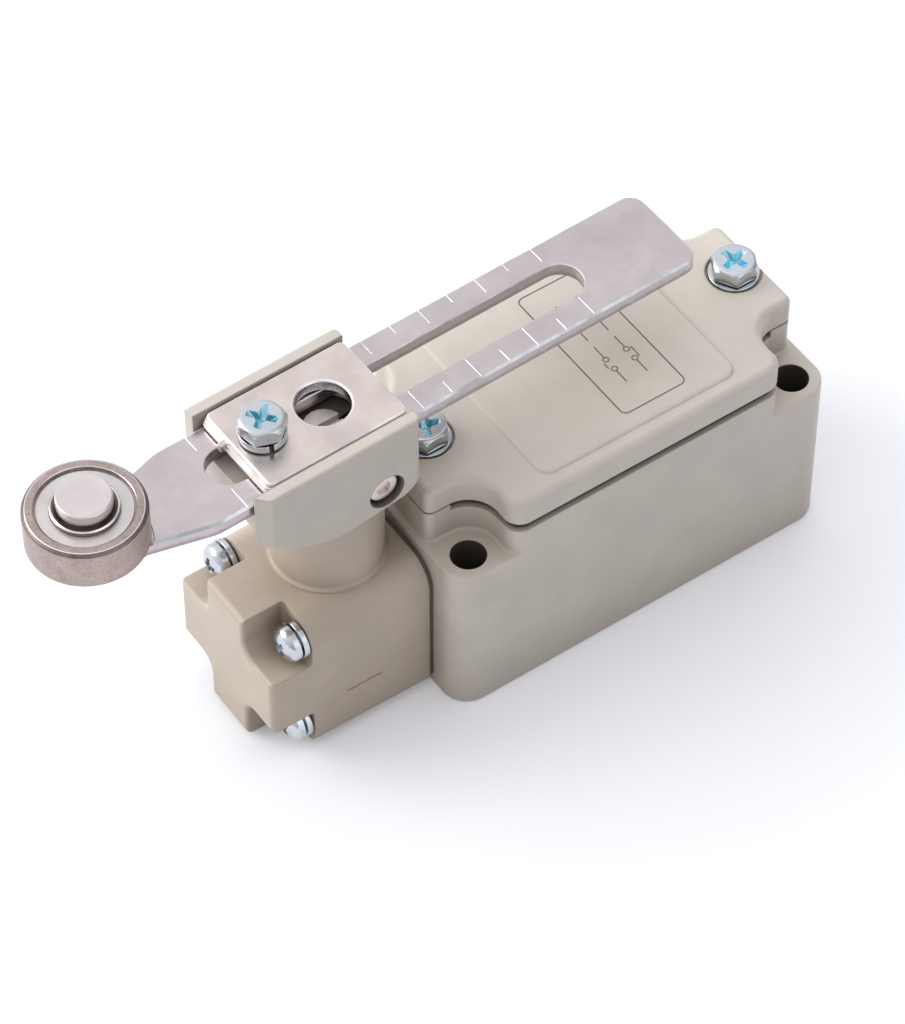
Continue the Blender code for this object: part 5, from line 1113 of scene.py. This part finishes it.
def make_hub():
    """A clamping hub: curved belly, a channel for the arm between two walls, a slit and a pinch bolt."""
    left = HUB_END - HUB_LUG
    belly_centre = (HUB_BELLY_U, HUB_BOTTOM + HUB_BELLY_RADIUS)
    belly = arc(belly_centre, HUB_BELLY_RADIUS, 270 - HUB_BELLY_SWEEP, 270, 2 * CORNER)
    rise = (belly[0][0] - left) * math.tan(math.radians(HUB_BELLY_SWEEP))
    tail_centre = (HUB_TAIL - HUB_TAIL_RADIUS, HUB_BOTTOM + HUB_TAIL_STEP + HUB_TAIL_RADIUS)
    side = [(left, belly[0][1] + rise)] + belly + arc(tail_centre, HUB_TAIL_RADIUS, 270, 360)
    side += [(HUB_TAIL, HUB_TOP), (left, HUB_TOP)]
    edge = (HUB_EDGE, EDGE)
    hub = stack("hub", eased(lambda inset: offset(side, -inset), -HUB_V, HUB_V, edge, edge), "Y")

    inner = -HUB_V + HUB_WALL
    chamfer = HUB_LUG + GAP
    plan = [(HUB_END, HUB_V + MARGIN), (HUB_END, inner), (left, inner), (left, inner - GAP),
            (left + chamfer + MARGIN, -HUB_V - MARGIN)]
    plan += arc((HUB_TAIL - HUB_TAIL_CORNER, -HUB_V + HUB_TAIL_CORNER), HUB_TAIL_CORNER, 270, 360)
    plan += arc((HUB_TAIL - HUB_TAIL_CORNER, HUB_V - HUB_TAIL_CORNER), HUB_TAIL_CORNER, 0, 90)
    keep_inside(hub, prism("plan", plan, HUB_BOTTOM - MARGIN, HUB_TOP + MARGIN))

    reach = HUB_LUG - HUB_END + MARGIN
    channel = HUB_V - HUB_WALL

    def trough(outset):
        return [(reach, channel + outset), (-reach, channel + outset), (-reach, -channel - outset),
                (reach, -channel - outset)]

    levels = [(trough(-inset), HUB_FLOOR + drop) for inset, drop in reversed(edge_steps(HUB_FILLET))]
    levels += [(trough(HUB_LIP - inset), HUB_TOP - drop) for inset, drop in reversed(edge_steps(HUB_LIP))]
    levels += [(trough(HUB_LIP), HUB_TOP + MARGIN)]
    bolt_low, bolt_high = box_mm("hub_clamp_bolt")
    bolt_end = (bolt_high - bolt_low).y - HUB_V + CLAMP_BOLT_RECESS + GAP
    seat = -HUB_V + CLAMP_BOLT_RECESS + CLAMP_BOLT_LENGTH
    sink = [(SPINDLE_RADIUS, HUB_FLOOR - COUNTERSINK_BOTTOM), (HUB_COUNTERSINK, HUB_FLOOR - COUNTERSINK_TOP),
            (HUB_COUNTERSINK, HUB_FLOOR + MARGIN)]
    bare = [
        rod("bore", SPINDLE_RADIUS + GAP, HUB_BOTTOM - MARGIN, HUB_TOP, facets=ROUND),
        turned("countersink", sink),
        block("slit", (0, -HUB_SLIT / 2, HUB_BOTTOM - MARGIN), (HUB_TAIL + MARGIN, HUB_SLIT / 2, HUB_TOP)),
        rod("screw_hole", SCREW_HOLE, clamp_low.z - GAP, HUB_FLOOR + MARGIN, (CLAMP_SCREW_U, 0, 0)),
        rod("bolt_hole", CLAMP_BOLT_SHANK + GAP, -HUB_V, bolt_end, (CLAMP_BOLT_U, 0, CLAMP_BOLT_Z), "Y"),
    ]
    # The bolt seat gets dark paint: painted shade.
    bolt_seat = put(bore("bolt_seat", CLAMP_BOLT_HOLE, seat + HUB_V + GAP, CLAMP_BOLT_SEAT_EDGE),
                    (CLAMP_BOLT_U, -HUB_V, CLAMP_BOLT_Z), "-Y")
    # Bore, countersink, slit and holes in dark metal: partly bare zinc, partly painted shade.
    for tool in bare:
        dress(tool, SHADED_BARE_ZINC)
    dress(hub, HUB_PAINT)
    cut(hub, dress(stack("channel", levels), HUB_PAINT), *bare[:-1], dress(bolt_seat, HOLE_SHADE), bare[-1])
    show(on_lever(hub), "hub_shell", HUB_PAINT, "hub_body", "hub_paint", "lever_hub")

    head = CLAMP_BOLT_HEAD
    profile = [(head - CLAMP_BOLT_EDGE, 0.0), (head - 0.1, 0.1), (head, CLAMP_BOLT_EDGE),
               (head, CLAMP_BOLT_LENGTH), (CLAMP_BOLT_SHANK, CLAMP_BOLT_LENGTH),
               (CLAMP_BOLT_SHANK, bolt_end + HUB_V - CLAMP_BOLT_RECESS - GAP)]
    bolt = dress(turned("bolt", profile, ROUND), NICKEL)
    socket = circle(CLAMP_BOLT_HEX / 2 / math.cos(math.pi / 6), 6)
    cut(bolt, dress(prism("socket", socket, -MARGIN, CLAMP_BOLT_DEPTH), NICKEL))
    put(bolt, (CLAMP_BOLT_U, -HUB_V + CLAMP_BOLT_RECESS, CLAMP_BOLT_Z), "Y")
    show(on_lever(bolt), "hub_bolt", NICKEL, "hub_body", "steel", "hub_clamp_bolt")


# ---------------------------------------------------------------- arm and clamp plate


def arm_outline(inset=0.0):
    half, nose, tail = ARM_V - inset, NOSE_RADIUS - inset, ARM_TAIL - inset
    corner = ARM_CORNER - inset
    taper = math.atan2(ARM_V - NOSE_RADIUS, NECK_END - NECK_START)
    bend = NECK_BEND - inset
    bend_u = -NECK_START + NECK_BEND * math.tan(taper / 2)
    upper = arc((tail - corner, half - corner), corner, 0, 90)
    upper += arc((bend_u, half - bend), bend, 90, 90 + math.degrees(taper), 6)
    upper.append((-NECK_END, nose))
    nose_arc = arc((ROLLER_U, 0.0), nose, 90, 270, 2 * CORNER)
    return upper + nose_arc + [(u, -v) for u, v in reversed(upper)]


def slot_outline(outset=0.0):
    radius = SLOT_V + outset
    return (arc((SLOT_END - SLOT_V, 0.0), radius, -90, 90, 2 * CORNER)
            + arc((SLOT_START + SLOT_V, 0.0), radius, 90, 270, 2 * CORNER))


def tick_cutter(u, low_v, high_v):
    """A V groove across the arm's top."""
    outline = [(u, arm_high.z - TICK_DEPTH), (u + TICK_WIDTH, arm_high.z + TICK_DEPTH),
               (u - TICK_WIDTH, arm_high.z + TICK_DEPTH)]
    return dress(prism("tick", outline, low_v, high_v, "Y"), SCRIBED)


def make_arm():
    low, top = arm_low.z, arm_high.z
    levels = [(arm_outline(inset), low + drop) for inset, drop in reversed(edge_steps(ARM_FOOT))]
    levels += [(arm_outline(0.0), top - ARM_CHAMFER - 0.08), (arm_outline(0.04), top - ARM_CHAMFER),
               (arm_outline(ARM_CHAMFER), top - 0.04), (arm_outline(ARM_CHAMFER + 0.08), top)]
    arm = dress(stack("arm", levels), ARM_NICKEL)
    levels = [(slot_outline(0.0), low - MARGIN)]
    levels += [(slot_outline(inset), top - drop) for inset, drop in edge_steps(SLOT_EDGE)]
    levels += [(slot_outline(SLOT_EDGE), top + MARGIN)]
    tools = [stack("slot", levels),
             put(bore("seat", SEAT_RADIUS, SEAT_DEPTH, THIN_EDGE, FINE), (ROLLER_U, 0, top)),
             put(bore("pin_hole", PIN_RADIUS + GAP, top - low, THIN_EDGE, through=True),
                 (ROLLER_U, 0, top - SEAT_DEPTH))]
    for i in range(TICK_COUNT):
        u = TICK_FIRST - i * TICK_PITCH
        far, near = (FAR_TICKS[i % 2], NEAR_TICKS[i % 2])
        tools += [tick_cutter(u, ARM_V - far, ARM_V + MARGIN), tick_cutter(u, -ARM_V - MARGIN, near - ARM_V)]
    cut(arm, *tools)
    # Paler chamfers: painted highlight.
    highlight_edges(arm, ARM_EDGE_HIGHLIGHT, top - 0.5)
    return show(on_lever(arm), "arm_bar", ARM_NICKEL, "arm_body", "nickel", "lever_arm")


def make_plate():
    low, top = plate_low.z, plate_high.z

    def outline(inset, step=0.0):
        return rounded_rectangle((PLATE_START + inset + step, -PLATE_V + inset),
                                 (PLATE_END - inset, PLATE_V - inset), (PLATE_CORNER - inset,) * 4)

    levels = [(outline(inset), low + drop) for inset, drop in reversed(edge_steps(0.15, 2))]
    for i in range(2):
        height = low + PLATE_STEP_HEIGHT * (i + 1)
        levels += [(outline(0.0, PLATE_STEP * i), height),
                   (outline(0.0, PLATE_STEP * (i + 1)), height + 0.08)]
    levels += [(outline(inset, 2 * PLATE_STEP), top - drop) for inset, drop in edge_steps(PLATE_EDGE, 6)]
    plate = dress(stack("plate", levels), NICKEL)
    # Paler chamfers: painted highlight.
    highlight_edges(plate, NICKEL_EDGE_HIGHLIGHT, low + 0.3)
    nib = block("nib", (PLATE_START - NIB_LENGTH, NIB_V - NIB_WIDTH / 2, low),
                (PLATE_START + PLATE_CORNER, NIB_V + NIB_WIDTH / 2, top - NIB_DROP))
    add(plate, nib)
    thickness = top - low
    # The window's wall in pale metal: painted highlight.
    cut(plate,
        dress(put(bore("window", PLATE_WINDOW, thickness, WINDOW_EDGE, FINE, through=True), (0, 0, top)),
              HIGHLIGHT_METAL),
        put(bore("hole", SCREW_HOLE, thickness, THIN_EDGE, through=True), (CLAMP_SCREW_U, 0, top)))
    show(on_lever(plate), "arm_clamp_plate", NICKEL, "hub_body", "nickel", "clamp_plate")

    low, high = box_mm("clamp_washer")
    washer = put(split_washer(SCREW_HOLE, CLAMP_WASHER, high.z - low.z), (CLAMP_SCREW_U, 0, low.z),
                 spin=CLAMP_WASHER_TURN)
    show(on_lever(washer), "arm_spring_washer", ZINC, "hub_body", "zinc", "clamp_washer")
    seat = clamp_high.z - HEX_HEIGHT
    screw = hex_screw(seat - clamp_low.z, CLAMP_CROSS_TURN)
    put(screw, (CLAMP_SCREW_U, 0, seat), spin=CLAMP_HEX_TURN)
    show(on_lever(screw), "arm_hex_screw", ZINC, "hub_body", "zinc", "clamp_screw")


# ---------------------------------------------------------------- roller


def make_roller():
    low, top = roller_low.z, roller_high.z
    inner = ROLLER_BUSH + BUSH_FIT
    rim = ROLLER_RADIUS - ROLLER_RIM
    chamfer = ROLLER_CHAMFER
    outer = [(ROLLER_RADIUS - chamfer - 0.06, 0.0), (ROLLER_RADIUS - chamfer + 0.06, 0.04),
             (ROLLER_RADIUS - 0.05, chamfer - 0.06), (ROLLER_RADIUS, chamfer + 0.08)]
    face = [(inner, ROLLER_DISH), (rim - GROOVE_WIDTH, ROLLER_DISH),
            (rim - GROOVE_WIDTH + 0.04, GROOVE_DEPTH), (rim - 0.06, GROOVE_DEPTH),
            (rim, 0.08), (rim + 0.08, 0.0)]
    profile = [(radius, low + height) for radius, height in face + outer]
    profile += [(radius, top - height) for radius, height in reversed(face + outer)]
    roller = dress(turned("roller", profile, FINE, hollow=True), SINTERED)
    for material in (RACE, HIGHLIGHT_METAL, SINTERED_EDGE_SHADE):
        roller.data.materials.append(material)
    bevel = ROLLER_RADIUS - chamfer
    for polygon in roller.data.polygons:
        radius = polygon.center.xy.length / MM
        # Thin rings at the rim and the bevel in pale metal: painted highlight.
        lip = rim - 0.04 < radius < rim + 0.06 or bevel - 0.05 < radius < bevel + 0.02
        # A darker band on the outer chamfer: partly wear, partly painted shade.
        edge_wear_and_light = bevel + 0.08 < radius < ROLLER_RADIUS - 0.03
        polygon.material_index = 1 if radius < rim - GROOVE_WIDTH + 0.02 else 2 if lip else 3 if edge_wear_and_light else 0
    put(roller, (ROLLER_U, 0, 0))
    show(on_lever(roller), "roller_ring", SINTERED, "roller_body", "roller_steel", "roller")

    low, high = box_mm("roller_bush")
    hole = PIN_RADIUS + 0.15
    lip = ROLLER_BUSH - BUSH_LIP
    profile = [(lip, low.z), (ROLLER_BUSH - BUSH_EDGE, low.z), (ROLLER_BUSH, low.z + BUSH_EDGE),
               (ROLLER_BUSH, high.z - BUSH_EDGE), (ROLLER_BUSH - BUSH_EDGE, high.z), (lip, high.z),
               (hole, high.z - BUSH_SINK), (hole, low.z + BUSH_SINK)]
    bush = dress(turned("bush", profile, ROUND, hollow=True), BRONZE)
    bush.data.materials.append(HIGHLIGHT_METAL)
    # Pale metal on the outer ring of the end faces: painted highlight.
    for polygon in bush.data.polygons:
        polygon.material_index = int(lip < polygon.center.xy.length / MM < ROLLER_BUSH - 0.03)
    put(bush, (ROLLER_U, 0, 0))
    show(on_lever(bush), "roller_sleeve", BRONZE, "roller_body", "bronze", "roller_bush")

    low, high = box_mm("roller_washer")
    washer = put(flat_washer(PIN_RADIUS + GAP, (high.x - low.x) / 2, high.z - low.z), (ROLLER_U, 0, low.z))
    show(on_lever(washer), "roller_thrust_washer", STEEL, "arm_body", "steel", "roller_washer")

    rivet = arm_low.z - GAP
    head = pin_high.z - PIN_HEAD_HEIGHT
    profile = [(RIVET_END, pin_low.z), (RIVET_RADIUS - 0.3, pin_low.z + 0.2), (RIVET_RADIUS, pin_low.z + 0.6),
               (RIVET_RADIUS, rivet), (PIN_RADIUS, rivet), (PIN_RADIUS, head), (PIN_HEAD - 0.12, head),
               (PIN_HEAD, head + 0.12)]
    profile += [(PIN_HEAD - inset, pin_high.z - drop) for inset, drop in edge_steps(PIN_EDGE)]
    pin = put(turned("pin", profile, ROUND), (ROLLER_U, 0, 0))
    show(on_lever(pin), "roller_pivot_pin", PIN_STEEL, "arm_body", "nickel", "roller_pin")


# ---------------------------------------------------------------- springs


def make_spring(node, name, wire, turns):
    """A coiled compression spring along X, filling the box of its CAD node."""
    low, high = box_mm(node)
    centre = (low + high) / 2
    radius = (high.z - low.z - wire) / 2
    start, stop = low.x + wire / 2, high.x - wire / 2
    count = int(turns * SMALL)
    along = Vector((1, 0, 0))
    loops = []
    for i in range(count + 1):
        turn = 2 * math.pi * turns * i / count
        outward = Vector((0, math.cos(turn), math.sin(turn)))
        spot = Vector((start + (stop - start) * i / count, centre.y, centre.z)) + outward * radius
        loops.append([spot + (outward * y + along * x) * wire / 2 for x, y in circle(1.0, WIRE_FACETS)])
    spring = show(loft("spring", loops), name, SPRING_STEEL, "housing", "spring_steel", node)
    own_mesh(spring)


# ---------------------------------------------------------------- pieces kept from the frame


def dress_kept_nodes():
    """Finishes of the CAD pieces whose shape is right as it is."""
    finishes = {"shaft_bush": BRONZE, "shaft_seal": RUBBER, "plunger": RESIN,
                "plunger_seal": RUBBER, "switch_base": RESIN, "switch_lid": RESIN, "switch_button": BUTTON,
                "contact_bridge": SILVER, "ground_screw": ZINC, "rotary_shaft": STEEL, "shaft_cam": STEEL,
                "shaft_clip": SPRING_STEEL, "return_spring": SPRING_STEEL, "switch_screw_1": ZINC,
                "switch_screw_2": ZINC}
    for i in range(1, 5):
        finishes[f"terminal_{i}"] = BRASS
        finishes[f"terminal_screw_{i}"] = ZINC
    for name, material in finishes.items():
        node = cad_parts[name]
        if node.material_slots:
            for slot in node.material_slots:
                slot.material = material
        else:
            node.data.materials.append(material)


make_case()
make_gasket()
make_cover()
make_print()
make_cover_screws()
make_head()
make_head_gasket()
make_head_screws()
make_hub()
make_plate()
make_arm()
make_roller()
make_spring("plunger_spring", "plunger_coil", PLUNGER_WIRE, 5)
make_spring("contact_spring", "contact_coil", CONTACT_WIRE, 4)
dress_kept_nodes()

# ---------------------------------------------------------------- floor, light and camera


def make_floor():
    """A pale sheet that keeps the object's soft shadow."""
    mesh = bpy.data.meshes.new("floor")
    builder = bmesh.new()
    bmesh.ops.create_grid(builder, x_segments=1, y_segments=1, size=FLOOR_HALF)
    builder.to_mesh(mesh)
    builder.free()
    floor = bpy.data.objects.new("floor", mesh)
    bpy.context.scene.collection.objects.link(floor)
    floor.location = (0, 0, -FLOOR_DROP)
    made = Finish("floor_paper", 1.0)
    made.shader.inputs["Base Color"].default_value = FLOOR_COLOR
    made.shader.inputs["Specular IOR Level"].default_value = 0.0
    rays = made.node("ShaderNodeLightPath").outputs
    seen = made.math("MAXIMUM", rays["Is Camera Ray"], made.math("MAXIMUM", rays["Is Glossy Ray"],
                                                                rays["Is Transmission Ray"]))
    glow = made.node("ShaderNodeEmission", {"Color": FLOOR_GLOW_COLOR, "Strength": FLOOR_GLOW})
    lit = made.node("ShaderNodeAddShader", {0: made.shader.outputs[0], 1: glow.outputs[0]})
    mixed = made.node("ShaderNodeMixShader", {0: seen, 1: made.shader.outputs[0], 2: lit.outputs[0]})
    output = next(node for node in made.tree.nodes if node.type == "OUTPUT_MATERIAL")
    made.feed(output.inputs["Surface"], mixed.outputs[0])
    floor.data.materials.append(made.material)


def make_world():
    """A light tent, brighter at the top and the back.  The camera sees plain white."""
    world = bpy.data.worlds.new("studio")
    world.use_nodes = True
    made = Nodes(world.node_tree)
    made.tree.nodes.clear()
    place = made.node("ShaderNodeTexCoord").outputs["Generated"]
    rays = made.node("ShaderNodeLightPath").outputs

    def background(color, strength=1.0):
        return made.node("ShaderNodeBackground", {"Color": color, "Strength": strength}).outputs[0]

    def graded(color, bright_side, start, dark, light):
        """Dark up to the start, then brighter as the direction turns to the bright side."""
        facing = made.node("ShaderNodeVectorMath", {0: place, 1: Vector(bright_side).normalized()},
                           operation="DOT_PRODUCT")
        return background(color, made.ramp(facing.outputs["Value"], start, 1.0, dark, light))

    def choose(ray, plain, special):
        return made.node("ShaderNodeMixShader", {0: ray, 1: plain, 2: special}).outputs[0]

    both = made.node("ShaderNodeAddShader", {0: graded(ROOM_COLOR, ROOM_SIDE, *ROOM_LEVELS),
                                             1: graded(CARD_COLOR, CARD_SIDE, *CARD_LEVELS)}).outputs[0]
    mixed = choose(rays["Is Glossy Ray"], graded(SKY_COLOR, SKY_SIDE, *SKY_LEVELS), both)
    mixed = choose(rays["Is Camera Ray"], mixed, background((1.0, 1.0, 1.0, 1.0)))
    made.node("ShaderNodeOutputWorld", {"Surface": mixed})
    bpy.context.scene.world = world


def area_light(name, toward, distance, size, watts, color):
    """A square lamp seen from the object in the given direction."""
    lamp = bpy.data.lights.new(name, "AREA")
    lamp.shape = "SQUARE"
    lamp.size = size
    lamp.energy = watts
    lamp.color = color
    item = bpy.data.objects.new(name, lamp)
    direction = Vector(toward).normalized()
    item.location = direction * distance
    item.rotation_euler = direction.to_track_quat("Z", "Y").to_euler()
    bpy.context.scene.collection.objects.link(item)


def make_camera():
    lens = bpy.data.cameras.new("camera")
    lens.sensor_fit = "AUTO"
    lens.sensor_width = 36.0
    lens.lens = CAMERA_LENS
    lens.clip_start = 0.01
    camera = bpy.data.objects.new("camera", lens)
    azimuth, elevation = math.radians(CAMERA_AZIMUTH), math.radians(CAMERA_ELEVATION)
    back = Vector((math.sin(azimuth) * math.cos(elevation), -math.cos(azimuth) * math.cos(elevation),
                   math.sin(elevation)))
    camera.location = CAMERA_PLACE
    camera.rotation_euler = (-back).to_track_quat("-Z", "Y").to_euler()
    bpy.context.scene.collection.objects.link(camera)
    bpy.context.scene.camera = camera


FLOOR_HALF = 3.0
FLOOR_DROP = 0.0001              # keeps it clear of the back face
FLOOR_COLOR = (0.80, 0.80, 0.82, 1.0)
FLOOR_GLOW_COLOR = (0.98, 0.98, 1.02, 1.0)
FLOOR_GLOW = 0.17
SKY_COLOR = (0.98, 0.985, 1.04, 1.0)
SKY_SIDE = (-0.05, 0.5, 0.86)
SKY_LEVELS = (-0.35, 0.0, 1.48)      # cosine where it starts, dark and light levels
ROOM_COLOR = (0.99, 0.99, 1.01, 1.0)
ROOM_SIDE = (-0.35, 0.55, 0.75)
ROOM_LEVELS = (-0.6, 0.10, 1.2)
CARD_COLOR = (0.97, 0.99, 1.03, 1.0)
CARD_SIDE = (0.3, -0.9, 0.35)        # a white card low in front, seen only in the metal
CARD_LEVELS = (0.75, 0.0, 1.1)
KEY_DIRECTION = (-0.64, 0.58, 0.50)
KEY_DISTANCE = 1.6
KEY_SIZE = 1.0
KEY_WATTS = 13.2
KEY_COLOR = (1.0, 0.99, 0.96)
CAMERA_PLACE = (-0.26456, -0.34651, 0.538665)
CAMERA_LENS = 158.94
CAMERA_AZIMUTH = -34.985
CAMERA_ELEVATION = 50.83

make_floor()
make_world()
area_light("key", KEY_DIRECTION, KEY_DISTANCE, KEY_SIZE, KEY_WATTS, KEY_COLOR)
make_camera()

bpy.context.scene.view_settings.view_transform = "Standard"
